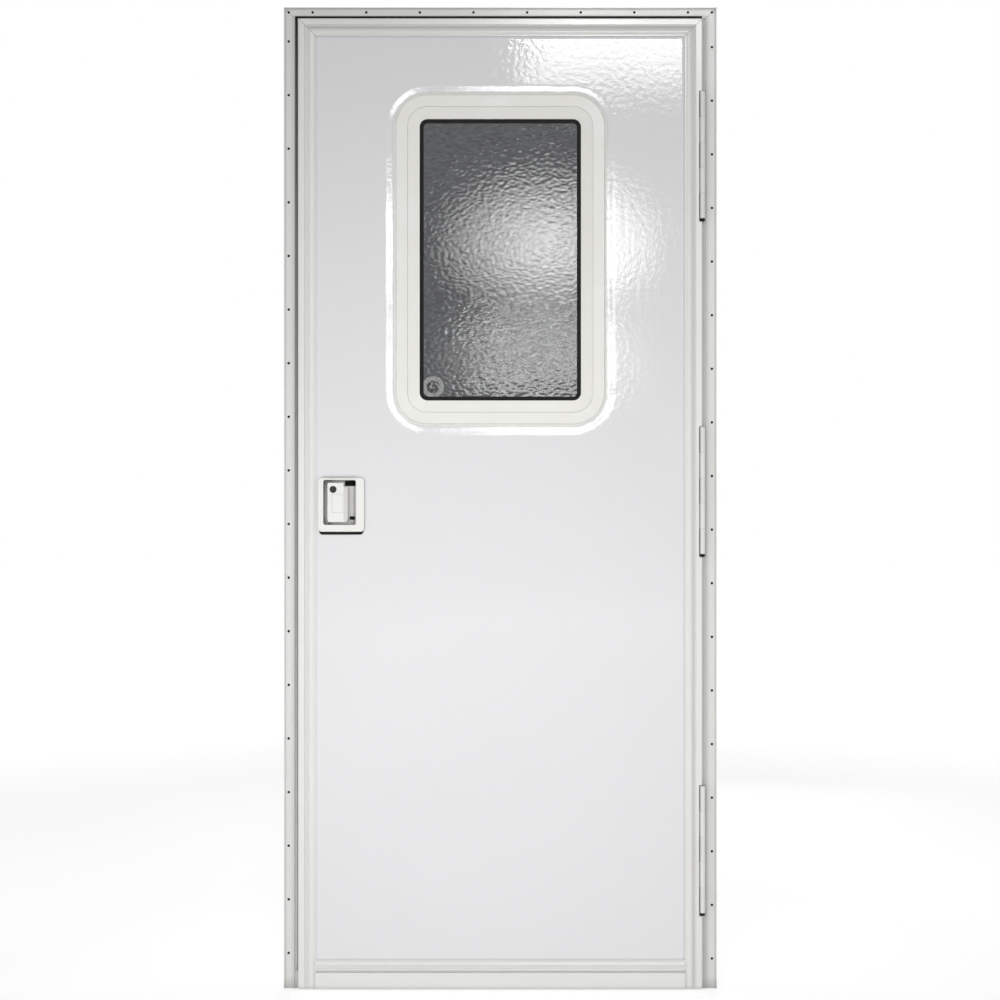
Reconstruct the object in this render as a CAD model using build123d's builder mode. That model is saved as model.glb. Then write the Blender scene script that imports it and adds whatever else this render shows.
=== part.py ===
"""Caravan entry door with its flanged frame, three edge hinges, obscure window and paddle lock.

Axes: +X to the right seen from outside, +Y into the vehicle, +Z up. The origin is at the bottom
centre of the frame, on the back of the flange, which is the plane that lies against the wall.
"""

import os

from build123d import *

os.makedirs("parts", exist_ok=True)

# Wall cut-out and frame extrusion
opening_width = 762.0
opening_height = 1829.0
frame_fit = 3.0
flange_width = 32.0
flange_thickness = 2.0
rim_thickness = 2.0
rim_height = 2.0
hinge_land = 12.0
web_thickness = 2.0
stop_width = 14.0
stop_thickness = 2.0

# Screw holes of the flange
hole_diameter = 5.0
hole_inset = 9.0
hole_pitch = 101.6
left_first_hole = 66.7
right_first_hole = 56.1

# Threshold and weather seal
threshold_height = 20.0
threshold_wall = 2.0
threshold_rib_inset = 18.0
seal_width = 10.0
seal_height = 6.0
seal_foot = 1.5
seal_shoulder = 1.0
seal_bore = 3.6
seal_clearance = 4.2

# Door leaf
side_gap = 10.5
head_gap = 5.5
threshold_gap = 7.0
lip_overhang = 16.5
lip_standoff = 5.0
lip_thickness = 4.0
skirt_clearance = 2.0
leaf_thickness = 38.0
edge_wall = 2.0
cover_margin = 2.5
cover_overlap = 3.0
cover_thickness = 0.8
outer_bead_width = 14.0
outer_bead_round = 2.0
groove_width = 5.5
groove_depth = 2.2
inner_bead_width = 11.0
inner_bead_rise = 1.9
skirt_height = 30.0
skirt_groove = 3.0
skirt_groove_depth = 3.4
skirt_bead_width = 5.0
skirt_bead_gap = 4.0
rail_bead_width = 8.0
skin_thickness = 2.0
sheet_gap = 0.4

# Window
glass_width = 305.0
glass_height = 532.0
glass_radius = 15.0
glass_thickness = 4.0
glass_bite = 10.0
glass_recess = 1.0
window_drop = 190.0
ring_width = 48.5
ring_height = 7.0
ring_shoulder = 5.0
ring_step_inset = 22.0
ring_step_drop = 1.2
ring_inner_height = 1.0
ring_sleeve_inset = 12.0
ring_sleeve_wall = 3.0
ring_sleeve_depth = 20.0
cutout_clearance = 2.0
gasket_lip = 7.5
gasket_thickness = 1.5
inner_ring_width = 42.0
inner_ring_reveal = 3.0
inner_ring_thickness = 5.0
clamp_sleeve_wall = 5.0
clamp_clearance = 1.0

# Hinges
lower_hinge_height = 265.0
upper_hinge_drop = 258.0
middle_hinge_rise = 22.0
hinge_length = 240.0
knuckle_count = 5
knuckle_radius = 5.0
knuckle_gap = 0.4
pin_radius = 2.5
pin_clearance = 0.05
pin_standoff = 2.0
hinge_leaf_thickness = 1.6
hinge_leg_thickness = 3.0
hinge_edge_depth = 24.0
notch_clearance = 1.5
notch_below = 6.0
notch_above = 1.0

# Lock
lock_setback = 79.0
lock_drop = 914.5
case_depth = 14.5
bezel_rim_left = 10.5
bezel_rim_right = 15.5
bezel_rim_top = 4.0
bezel_rim_bottom = 13.0
bezel_thickness = 6.0
bezel_radius = 7.0
bezel_edge = 2.0
pocket_width = 62.0
pocket_height = 85.0
pocket_radius = 4.0
finger_slope = 7.0
pan_wall = 2.0
pan_clearance = 1.5
drain_width = 11.0
drain_height = 6.5
drain_rise = 9.5
link_slot_width = 22.0
link_slot_height = 10.5
link_slot_margin = 1.0
lock_gasket_thickness = 1.5
lock_gasket_drop = 5.5
paddle_width = 38.5
paddle_side_gap = 7.5
paddle_end_gap = 5.0
paddle_sink = 0.5
paddle_depth = 12.5
paddle_wall = 2.5
paddle_radius = 4.0
paddle_edge = 1.2
paddle_slope_width = 7.5
paddle_slope_depth = 7.0
paddle_notch_width = 7.5
paddle_notch_height = 8.5
panel_width = 21.5
panel_height = 36.0
panel_depth = 0.8
panel_drop = 2.0
panel_radius = 2.5
pivot_inset = 3.5
pivot_depth = 5.5
pivot_radius = 2.0
key_inset_x = 11.0
key_drop = 13.0
key_radius = 6.5
key_boss_wall = 2.5
key_proud = 0.8
key_length = 17.0
key_edge = 0.6
keyway_width = 1.6
keyway_height = 8.0
keyway_depth = 5.0
case_inset = 2.0
bolt_thickness = 10.0
bolt_height = 18.0
bolt_spacing = 30.0
bolt_proud = 1.5
bolt_clearance = 0.5
bolt_nose = 4.0
faceplate_thickness = 1.5
faceplate_margin = 8.0
strike_thickness = 1.5
inner_plate_width = 88.0
inner_plate_height = 126.0
inner_plate_thickness = 4.0
inner_plate_radius = 10.0
inner_plate_edge = 1.5
lever_width = 26.0
lever_height = 62.0
lever_depth = 11.0
lever_edge = 3.0
turn_radius = 9.0
turn_base = 2.5
turn_wing_length = 15.0
turn_wing_width = 6.0
turn_wing_depth = 9.0

# Frame faces worked out from the cut-out
web_half = opening_width / 2 - frame_fit
web_top = opening_height - frame_fit
flange_half = web_half + flange_width
flange_top = web_top + flange_width
web_inner_half = web_half - web_thickness
web_inner_top = web_top - web_thickness
stop_inner_half = web_inner_half - stop_width
rim_front = -flange_thickness - rim_height
track_width = flange_width - hinge_land - 2 * rim_thickness

# Leaf faces worked out from the frame
body_half = web_inner_half - side_gap
body_top = web_inner_top - head_gap
body_bottom = threshold_height + threshold_gap
lip_half = body_half + lip_overhang
lip_top = body_top + lip_overhang
lip_bottom = skirt_clearance
lip_back = rim_front - lip_standoff
lip_front = lip_back - lip_thickness
leaf_back = lip_front + leaf_thickness
stop_front = leaf_back + cover_thickness + seal_clearance + seal_height
jamb_depth = stop_front + stop_thickness
cover_back = lip_front + groove_depth + cover_thickness
core_front = cover_back + skin_thickness
core_back = leaf_back - skin_thickness
edge_width = outer_bead_width + groove_width + inner_bead_width + cover_margin - cover_overlap
rail_depth = skirt_height + skirt_groove + skirt_bead_width + skirt_bead_gap + rail_bead_width
panel_half = lip_half - edge_width
panel_top = lip_top - edge_width
panel_bottom = lip_bottom + rail_depth
cover_edge_half = panel_half - cover_overlap

# Window centre, half sizes and depths
window_x = 0.0
window_bottom = lip_top - window_drop - glass_height
window_z = window_bottom + glass_height / 2
ring_front = cover_back - ring_height
gasket_front = cover_back + glass_recess
glass_front = gasket_front + gasket_thickness
glass_back = glass_front + glass_thickness
cutout_offset = ring_sleeve_inset + ring_sleeve_wall + cutout_clearance
cutout_half = glass_width / 2 + cutout_offset
cutout_bottom = window_bottom - cutout_offset
cutout_top = window_bottom + glass_height + cutout_offset

# Lock places
pocket_x = -lip_half + lock_setback
pocket_z = lip_top - lock_drop
pocket_left = pocket_x - pocket_width / 2
pocket_right = pocket_x + pocket_width / 2
pocket_bottom = pocket_z - pocket_height / 2
pocket_top = pocket_z + pocket_height / 2
bezel_x = pocket_x + (bezel_rim_right - bezel_rim_left) / 2
bezel_z = pocket_z + (bezel_rim_top - bezel_rim_bottom) / 2
bezel_width = pocket_width + bezel_rim_left + bezel_rim_right
bezel_height = pocket_height + bezel_rim_top + bezel_rim_bottom
bezel_back = cover_back - lock_gasket_thickness
bezel_front = bezel_back - bezel_thickness
pan_back = leaf_back - case_depth
pocket_floor = pan_back - pan_wall
lock_cut_margin = pan_wall + pan_clearance
lock_cut_left = pocket_left - lock_cut_margin
lock_cut_right = pocket_right + lock_cut_margin
lock_cut_bottom = pocket_bottom - lock_cut_margin
lock_cut_top = pocket_top + lock_cut_margin
paddle_left = pocket_left + paddle_side_gap
paddle_right = paddle_left + paddle_width
paddle_x = paddle_left + paddle_width / 2
paddle_height = pocket_height - 2 * paddle_end_gap
paddle_bottom = pocket_bottom + paddle_end_gap
paddle_top = pocket_top - paddle_end_gap
paddle_front = bezel_front + paddle_sink
paddle_back = paddle_front + paddle_depth
pivot_x = paddle_left + pivot_inset
pivot_y = paddle_front + pivot_depth
key_x = paddle_left + key_inset_x
key_z = pocket_z + paddle_height / 2 - key_drop
case_left = pocket_left - pan_wall + case_inset
case_right = pocket_right + pan_wall - case_inset
bolt_y = pan_back + bolt_clearance + bolt_thickness / 2
bolt_heights = {"latch_bolt": pocket_z - bolt_spacing / 2, "dead_bolt": pocket_z + bolt_spacing / 2}
plate_height = bolt_spacing + bolt_height + 2 * faceplate_margin
plate_width = bolt_thickness + faceplate_margin
faceplate_front = -body_half - faceplate_thickness

# Hinge axis and places
upper_hinge_height = lip_top - upper_hinge_drop
hinge_centres = {
    "lower": lower_hinge_height,
    "middle": (lower_hinge_height + upper_hinge_height) / 2 + middle_hinge_rise,
    "upper": upper_hinge_height,
}
pin_x = lip_half
pin_y = lip_front + pin_standoff
notch_half = pin_x - knuckle_radius - notch_clearance
leg_right = pin_x + knuckle_radius
foot_left = web_inner_half + hinge_leaf_thickness
foot_right = flange_half - rim_thickness * 2 - track_width - sheet_gap
foot_front = -flange_thickness - hinge_leaf_thickness
knuckle_pitch = hinge_length / knuckle_count
knuckle_length = knuckle_pitch - knuckle_gap


def save(piece, name):
    """Labels a finished piece and writes it as its own file."""
    piece.part.label = name
    export_step(piece.part, f"parts/{name}.step")


def block(x_range, y_range, z_range, mode=Mode.ADD):
    """Adds or cuts an upright block between the given pairs of planes."""
    ranges = (x_range, y_range, z_range)
    with Locations(tuple((low + high) / 2 for low, high in ranges)):
        Box(*(high - low for low, high in ranges), mode=mode)


def face_plane(depth):
    """Plane parallel to the door's face at this depth, looking outward, with +X right and +Z up."""
    return Plane(origin=(0, depth, 0), x_dir=(1, 0, 0), z_dir=(0, -1, 0))


# Section planes: the first axis runs from the outer edge inward, the second runs into the vehicle
left_frame_plane = Plane(origin=(-flange_half, 0, 0), x_dir=(1, 0, 0), z_dir=(0, 0, 1))
right_frame_plane = Plane(origin=(flange_half, 0, 0), x_dir=(-1, 0, 0), z_dir=(0, 0, -1))
head_frame_plane = Plane(origin=(-flange_half, 0, flange_top), x_dir=(0, 0, -1), z_dir=(1, 0, 0))
left_edge_plane = Plane(origin=(-lip_half, 0, lip_bottom), x_dir=(1, 0, 0), z_dir=(0, 0, 1))
right_edge_plane = Plane(origin=(lip_half, 0, lip_bottom), x_dir=(-1, 0, 0), z_dir=(0, 0, -1))
top_edge_plane = Plane(origin=(-lip_half, 0, lip_top), x_dir=(0, 0, -1), z_dir=(1, 0, 0))
bottom_edge_plane = Plane(origin=(panel_half, 0, lip_bottom), x_dir=(0, 0, 1), z_dir=(-1, 0, 0))

# Mitre planes of the two upper corners
left_frame_mitre = Plane(origin=(-flange_half, 0, flange_top), z_dir=(1, 0, 1))
right_frame_mitre = Plane(origin=(flange_half, 0, flange_top), z_dir=(-1, 0, 1))
left_edge_mitre = Plane(origin=(-lip_half, 0, lip_top), z_dir=(1, 0, 1))
right_edge_mitre = Plane(origin=(lip_half, 0, lip_top), z_dir=(-1, 0, 1))


def jamb_section():
    """Draws the frame extrusion: flange with its insert track, web and door stop."""
    web_start = flange_width
    web_end = flange_width + web_thickness
    inner_rim = rim_thickness + track_width
    with BuildLine() as outline:
        Polyline(
            (0, 0),
            (0, rim_front),
            (rim_thickness, rim_front),
            (rim_thickness, -flange_thickness),
            (inner_rim, -flange_thickness),
            (inner_rim, rim_front),
            (inner_rim + rim_thickness, rim_front),
            (inner_rim + rim_thickness, -flange_thickness),
            (web_end, -flange_thickness),
            (web_end, stop_front),
            (web_end + stop_width, stop_front),
            (web_end + stop_width, jamb_depth),
            (web_start, jamb_depth),
            (web_start, 0),
            close=True,
        )
    make_face(outline.edges())


def edge_section():
    """Draws the leaf's hollow edge extrusion: lip with two beads, box and sheet covers."""
    groove_floor = lip_front + groove_depth
    groove_end = outer_bead_width + groove_width
    bead_end = groove_end + inner_bead_width
    bead_middle = groove_end + inner_bead_width / 2
    cover_end = bead_end + cover_margin
    rounding = outer_bead_round
    with BuildLine() as outline:
        Line((0, lip_back), (0, lip_front + rounding))
        RadiusArc((0, lip_front + rounding), (rounding, lip_front), rounding)
        Line((rounding, lip_front), (outer_bead_width - rounding, lip_front))
        RadiusArc(
            (outer_bead_width - rounding, lip_front),
            (outer_bead_width, lip_front + rounding),
            rounding,
        )
        Polyline(
            (outer_bead_width, lip_front + rounding),
            (outer_bead_width, groove_floor),
            (groove_end, groove_floor),
        )
        ThreePointArc(
            (groove_end, groove_floor),
            (bead_middle, groove_floor - inner_bead_rise),
            (bead_end, groove_floor),
        )
        Polyline(
            (bead_end, groove_floor),
            (cover_end, groove_floor),
            (cover_end, cover_back),
            (edge_width, cover_back),
            (edge_width, leaf_back),
            (cover_end, leaf_back),
            (cover_end, leaf_back + cover_thickness),
            (lip_overhang, leaf_back + cover_thickness),
            (lip_overhang, lip_back),
            (0, lip_back),
        )
    make_face(outline.edges())
    with Locations(((lip_overhang + edge_width) / 2, (lip_back + leaf_back) / 2)):
        Rectangle(
            edge_width - lip_overhang - 2 * edge_wall,
            leaf_back - lip_back - 2 * edge_wall,
            mode=Mode.SUBTRACT,
        )


def bottom_rail_section():
    """Draws the bottom rail: plain skirt, a deep and a shallow groove, two beads, box and covers."""
    groove_floor = lip_front + groove_depth
    skirt_groove_floor = lip_front + skirt_groove_depth
    bead_start = skirt_height + skirt_groove
    bead_end = bead_start + skirt_bead_width
    upper_start = bead_end + skirt_bead_gap
    upper_end = rail_depth
    cover_end = rail_depth + cover_overlap
    box_start = body_bottom - lip_bottom
    with BuildLine() as outline:
        Polyline(
            (0, lip_back),
            (0, lip_front),
            (skirt_height, lip_front),
            (skirt_height, skirt_groove_floor),
            (bead_start, skirt_groove_floor),
            (bead_start, groove_floor),
        )
        ThreePointArc(
            (bead_start, groove_floor),
            ((bead_start + bead_end) / 2, groove_floor - inner_bead_rise),
            (bead_end, groove_floor),
        )
        Line((bead_end, groove_floor), (upper_start, groove_floor))
        ThreePointArc(
            (upper_start, groove_floor),
            ((upper_start + upper_end) / 2, groove_floor - inner_bead_rise),
            (upper_end, groove_floor),
        )
        Polyline(
            (upper_end, groove_floor),
            (cover_end, groove_floor),
            (cover_end, cover_back),
            (rail_depth, cover_back),
            (rail_depth, leaf_back),
            (cover_end, leaf_back),
            (cover_end, leaf_back + cover_thickness),
            (box_start, leaf_back + cover_thickness),
            (box_start, lip_back),
            (0, lip_back),
        )
    make_face(outline.edges())
    with Locations(((box_start + rail_depth) / 2, (lip_back + leaf_back) / 2)):
        Rectangle(
            rail_depth - box_start - 2 * edge_wall,
            leaf_back - lip_back - 2 * edge_wall,
            mode=Mode.SUBTRACT,
        )


def side_holes(x, first_hole):
    """Drills the row of screw holes up one side flange."""
    count = int((web_top - first_hole) // hole_pitch) + 1
    middle = first_hole + (count - 1) * hole_pitch / 2
    with Locations(Plane(origin=(x, -flange_thickness, middle), x_dir=(1, 0, 0), z_dir=(0, -1, 0))):
        with GridLocations(hole_pitch, hole_pitch, 1, count):
            Hole(hole_diameter / 2, depth=flange_thickness)


def corner_hole(x):
    """Drills the screw hole that lies across an upper mitre."""
    centre = (x, -flange_thickness, flange_top - hole_inset)
    with Locations(Plane(origin=centre, x_dir=(1, 0, 0), z_dir=(0, -1, 0))):
        Hole(hole_diameter / 2, depth=flange_thickness)


def bolt_slots(x_range):
    """Cuts the two slots that the lock's bolts pass through, between these X planes."""
    half_thickness = bolt_thickness / 2 + bolt_clearance
    half_height = bolt_height / 2 + bolt_clearance
    for slot_z in bolt_heights.values():
        block(
            x_range,
            (bolt_y - half_thickness, bolt_y + half_thickness),
            (slot_z - half_height, slot_z + half_height),
            mode=Mode.SUBTRACT,
        )


def window_outline(offset):
    """Draws the window's rounded outline, this far outside the visible glass."""
    with Locations((window_x, window_z)):
        RectangleRounded(
            glass_width + 2 * offset,
            glass_height + 2 * offset,
            glass_radius + offset,
        )


def window_path():
    """Wire round the edge of the visible glass, with its start on the left side."""
    with BuildSketch(Plane.XZ) as outline:
        window_outline(0)
    return outline.sketch.face().outer_wire()


# Frame jambs, mitred at the head
left_hole_x = -flange_half + hole_inset
right_hole_x = flange_half - hole_inset

with BuildPart() as left_jamb:
    with BuildSketch(left_frame_plane):
        jamb_section()
    extrude(amount=flange_top)
    side_holes(left_hole_x, left_first_hole)
    corner_hole(left_hole_x)
    bolt_slots((-web_half, -web_inner_half))
    split(bisect_by=left_frame_mitre, keep=Keep.BOTTOM)
save(left_jamb, "left_jamb")

with BuildPart() as right_jamb:
    with BuildSketch(right_frame_plane):
        jamb_section()
    extrude(amount=-flange_top)
    side_holes(right_hole_x, right_first_hole)
    corner_hole(right_hole_x)
    split(bisect_by=right_frame_mitre, keep=Keep.BOTTOM)
save(right_jamb, "right_jamb")

with BuildPart() as head_jamb:
    with BuildSketch(head_frame_plane):
        jamb_section()
    extrude(amount=2 * flange_half)
    head_hole_count = int(2 * web_half // hole_pitch) + 1
    with Locations(face_plane(-flange_thickness)):
        with Locations((0, flange_top - hole_inset)):
            with GridLocations(hole_pitch, hole_pitch, head_hole_count, 1):
                Hole(hole_diameter / 2, depth=flange_thickness)
    corner_hole(left_hole_x)
    corner_hole(right_hole_x)
    split(bisect_by=left_frame_mitre, keep=Keep.TOP)
    split(bisect_by=right_frame_mitre, keep=Keep.TOP)
save(head_jamb, "head_jamb")

# Threshold: front apron on the wall plane, tread, rib and rear stop
with BuildPart() as threshold:
    tread_under = threshold_height - threshold_wall
    block((-web_inner_half, web_inner_half), (-flange_thickness, 0), (0, threshold_height))
    block((-web_inner_half, web_inner_half), (0, stop_front), (tread_under, threshold_height))
    block(
        (-web_inner_half, web_inner_half),
        (threshold_rib_inset, threshold_rib_inset + threshold_wall),
        (0, tread_under),
    )
    block(
        (-stop_inner_half, stop_inner_half),
        (stop_front, jamb_depth),
        (0, threshold_height + stop_width),
    )
save(threshold, "threshold")

# Hollow bulb seal round the inside of the stops
seal_line_half = web_inner_half - stop_width / 2
seal_line_bottom = threshold_height + stop_width / 2
seal_line_top = web_inner_top - stop_width / 2
seal_middle = (seal_line_bottom + seal_line_top) / 2

with BuildSketch(Plane.XZ.offset(-stop_front)) as seal_line:
    with Locations((0, seal_middle)):
        Rectangle(2 * seal_line_half, seal_line_top - seal_line_bottom)

seal_start = (-seal_line_half, stop_front, seal_middle)
with BuildPart() as weather_seal:
    bulb_half = seal_width / 2 - seal_shoulder
    with BuildSketch(Plane(origin=seal_start, x_dir=(1, 0, 0), z_dir=(0, 0, 1))):
        with BuildLine():
            Polyline((-bulb_half, -seal_foot), (-seal_width / 2, -seal_foot), (-seal_width / 2, 0))
            Line((-seal_width / 2, 0), (seal_width / 2, 0))
            Polyline((seal_width / 2, 0), (seal_width / 2, -seal_foot), (bulb_half, -seal_foot))
            ThreePointArc((bulb_half, -seal_foot), (0, -seal_height), (-bulb_half, -seal_foot))
        make_face()
        with Locations((0, -seal_height / 2)):
            Circle(seal_bore / 2, mode=Mode.SUBTRACT)
    sweep(path=seal_line.sketch.face().outer_wire(), transition=Transition.RIGHT)
save(weather_seal, "weather_seal")

# Strike plate on the latch jamb
with BuildPart() as strike_plate:
    block(
        (-web_inner_half, -web_inner_half + strike_thickness),
        (bolt_y - plate_width / 2, bolt_y + plate_width / 2),
        (pocket_z - plate_height / 2, pocket_z + plate_height / 2),
    )
    bolt_slots((-web_inner_half, -web_inner_half + strike_thickness))
save(strike_plate, "strike_plate")

# Leaf edge extrusions, cut back to the lip where they pass the threshold
edge_length = lip_top - lip_bottom
sill_cut_depth = (lip_back, jamb_depth)
sill_cut_height = (lip_bottom, body_bottom)

with BuildPart() as left_stile:
    with BuildSketch(left_edge_plane):
        edge_section()
    extrude(amount=edge_length)
    bolt_slots((-body_half, -panel_half))
    block((-lip_half, -cover_edge_half), sill_cut_depth, sill_cut_height, mode=Mode.SUBTRACT)
    split(bisect_by=left_edge_mitre, keep=Keep.BOTTOM)
save(left_stile, "left_stile")

with BuildPart() as right_stile:
    with BuildSketch(right_edge_plane):
        edge_section()
    extrude(amount=-edge_length)
    for hinge_z in hinge_centres.values():
        block(
            (notch_half, lip_half),
            (lip_front, lip_back),
            (hinge_z - hinge_length / 2 - notch_below, hinge_z + hinge_length / 2 + notch_above),
            mode=Mode.SUBTRACT,
        )
    block((cover_edge_half, lip_half), sill_cut_depth, sill_cut_height, mode=Mode.SUBTRACT)
    split(bisect_by=right_edge_mitre, keep=Keep.BOTTOM)
save(right_stile, "right_stile")

with BuildPart() as top_rail:
    with BuildSketch(top_edge_plane):
        edge_section()
    extrude(amount=2 * lip_half)
    split(bisect_by=left_edge_mitre, keep=Keep.TOP)
    split(bisect_by=right_edge_mitre, keep=Keep.TOP)
save(top_rail, "top_rail")

with BuildPart() as bottom_rail:
    with BuildSketch(bottom_edge_plane):
        bottom_rail_section()
    extrude(amount=2 * panel_half)
    rail_ends = (lip_bottom, panel_bottom + cover_overlap)
    for end_range in ((-panel_half, -cover_edge_half), (cover_edge_half, panel_half)):
        block(end_range, (lip_front, cover_back), rail_ends, mode=Mode.SUBTRACT)
        block(end_range, (leaf_back, leaf_back + cover_thickness), rail_ends, mode=Mode.SUBTRACT)
save(bottom_rail, "bottom_rail")


def leaf_sheet(depth, lock_width, lock_sheet_height):
    """Builds one facing sheet with its window and lock cut-outs; its outer face is at this depth."""
    sheet_half = panel_half - sheet_gap
    sheet_bottom = panel_bottom + sheet_gap
    sheet_top = panel_top - sheet_gap
    with BuildPart() as sheet:
        with BuildSketch(face_plane(depth + skin_thickness)):
            with Locations((0, (sheet_bottom + sheet_top) / 2)):
                Rectangle(2 * sheet_half, sheet_top - sheet_bottom)
            with Locations((window_x, window_z)):
                RectangleRounded(
                    2 * cutout_half,
                    cutout_top - cutout_bottom,
                    glass_radius + cutout_offset,
                    mode=Mode.SUBTRACT,
                )
            with Locations((pocket_x, pocket_z)):
                Rectangle(lock_width, lock_sheet_height, mode=Mode.SUBTRACT)
        extrude(amount=skin_thickness)
    return sheet


lock_cut_width = lock_cut_right - lock_cut_left
lock_cut_height = lock_cut_top - lock_cut_bottom
outer_skin = leaf_sheet(cover_back, lock_cut_width, lock_cut_height)
save(outer_skin, "outer_skin")
inner_skin = leaf_sheet(core_back, lock_cut_width, lock_cut_height)
save(inner_skin, "inner_skin")

# Core blocks round the window and the lock
core_half = panel_half - sheet_gap
core_bottom = panel_bottom + sheet_gap
core_top = panel_top - sheet_gap
core_blocks = {
    "core_base": ((-core_half, core_half), (core_bottom, lock_cut_bottom)),
    "core_lock_left": ((-core_half, lock_cut_left), (lock_cut_bottom, lock_cut_top)),
    "core_lock_right": ((lock_cut_right, core_half), (lock_cut_bottom, lock_cut_top)),
    "core_waist": ((-core_half, core_half), (lock_cut_top, cutout_bottom)),
    "core_window_left": ((-core_half, window_x - cutout_half), (cutout_bottom, cutout_top)),
    "core_window_right": ((window_x + cutout_half, core_half), (cutout_bottom, cutout_top)),
    "core_head": ((-core_half, core_half), (cutout_top, core_top)),
}
for core_name, (core_x, core_z) in core_blocks.items():
    with BuildPart() as core_block:
        block(core_x, (core_front, core_back), core_z)
        if core_name == "core_lock_left":
            bolt_slots(core_x)
    save(core_block, core_name)


def ring_section_plane():
    """Plane across the window's left side: first axis outward from the glass, second inward."""
    return Plane(
        origin=(window_x - glass_width / 2, 0, window_z),
        x_dir=(-1, 0, 0),
        z_dir=(0, 0, -1),
    )


# Outer window ring: moulded face on the skin and a sleeve through the leaf
with BuildPart() as window_outer_ring:
    sleeve_end = ring_sleeve_inset + ring_sleeve_wall
    with BuildSketch(ring_section_plane()):
        with BuildLine():
            Polyline(
                (0, gasket_front),
                (0, cover_back - ring_inner_height),
                (ring_step_inset, ring_front + ring_step_drop * 2),
                (ring_step_inset + ring_step_drop, ring_front),
                (ring_width - ring_shoulder, ring_front),
            )
            RadiusArc(
                (ring_width - ring_shoulder, ring_front),
                (ring_width, ring_front + ring_shoulder),
                ring_shoulder,
            )
            Polyline(
                (ring_width, ring_front + ring_shoulder),
                (ring_width, cover_back),
                (sleeve_end, cover_back),
                (sleeve_end, cover_back + ring_sleeve_depth),
                (ring_sleeve_inset, cover_back + ring_sleeve_depth),
                (ring_sleeve_inset, gasket_front),
                (0, gasket_front),
            )
        make_face()
    sweep(path=window_path())
save(window_outer_ring, "window_outer_ring")

with BuildPart() as window_gasket:
    with BuildSketch(face_plane(glass_front)):
        window_outline(glass_bite)
        with Locations((window_x, window_z)):
            RectangleRounded(
                glass_width - 2 * gasket_lip,
                glass_height - 2 * gasket_lip,
                glass_radius - gasket_lip,
                mode=Mode.SUBTRACT,
            )
    extrude(amount=gasket_thickness)
save(window_gasket, "window_gasket")

with BuildPart() as window_glass:
    with BuildSketch(face_plane(glass_back)):
        window_outline(glass_bite)
    extrude(amount=glass_thickness)
save(window_glass, "window_glass")

# Inner window ring: trim face on the inner sheet and the sleeve that clamps the glass
with BuildPart() as window_inner_ring:
    clamp_end = ring_sleeve_inset - clamp_clearance
    clamp_start = clamp_end - clamp_sleeve_wall
    trim_back = leaf_back + inner_ring_thickness
    with BuildSketch(ring_section_plane()):
        with BuildLine():
            Polyline(
                (clamp_start, glass_back),
                (clamp_end, glass_back),
                (clamp_end, leaf_back),
                (inner_ring_width, leaf_back),
                (inner_ring_width, trim_back - inner_ring_reveal),
                (inner_ring_width - inner_ring_reveal, trim_back),
                (clamp_start, trim_back),
                close=True,
            )
        make_face()
    sweep(path=window_path())
save(window_inner_ring, "window_inner_ring")

# Hinges: frame leaf, door leaf and pin at each place
knuckle_start = -hinge_length / 2 + knuckle_pitch / 2
for hinge_name, hinge_z in hinge_centres.items():
    hinge_range = (hinge_z - hinge_length / 2, hinge_z + hinge_length / 2)
    frame_knuckles = [hinge_z + knuckle_start + i * knuckle_pitch for i in range(0, knuckle_count, 2)]
    door_knuckles = [hinge_z + knuckle_start + i * knuckle_pitch for i in range(1, knuckle_count, 2)]

    with BuildPart() as hinge_frame_leaf:
        block((foot_left, foot_right), (foot_front, -flange_thickness), hinge_range)
        for knuckle_z in frame_knuckles:
            knuckle_range = (knuckle_z - knuckle_length / 2, knuckle_z + knuckle_length / 2)
            block((leg_right - hinge_leg_thickness, leg_right), (pin_y, foot_front), knuckle_range)
            with Locations((pin_x, pin_y, knuckle_z)):
                Cylinder(knuckle_radius, knuckle_length)
        with Locations((pin_x, pin_y, hinge_z)):
            Cylinder(pin_radius + pin_clearance, hinge_length, mode=Mode.SUBTRACT)
    save(hinge_frame_leaf, f"hinge_frame_leaf_{hinge_name}")

    with BuildPart() as hinge_door_leaf:
        strap_back = lip_back + hinge_leaf_thickness
        block((body_half, notch_half), (lip_back, strap_back), hinge_range)
        block(
            (body_half, body_half + hinge_leaf_thickness),
            (lip_back, lip_back + hinge_edge_depth),
            hinge_range,
        )
        for knuckle_z in door_knuckles:
            knuckle_range = (knuckle_z - knuckle_length / 2, knuckle_z + knuckle_length / 2)
            block((notch_half, pin_x), (lip_back, strap_back), knuckle_range)
            with Locations((pin_x, pin_y, knuckle_z)):
                Cylinder(knuckle_radius, knuckle_length)
        with Locations((pin_x, pin_y, hinge_z)):
            Cylinder(pin_radius + pin_clearance, hinge_length, mode=Mode.SUBTRACT)
    save(hinge_door_leaf, f"hinge_door_leaf_{hinge_name}")

    with BuildPart() as hinge_pin:
        with Locations((pin_x, pin_y, hinge_z)):
            Cylinder(pin_radius, hinge_length)
    save(hinge_pin, f"hinge_pin_{hinge_name}")

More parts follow.
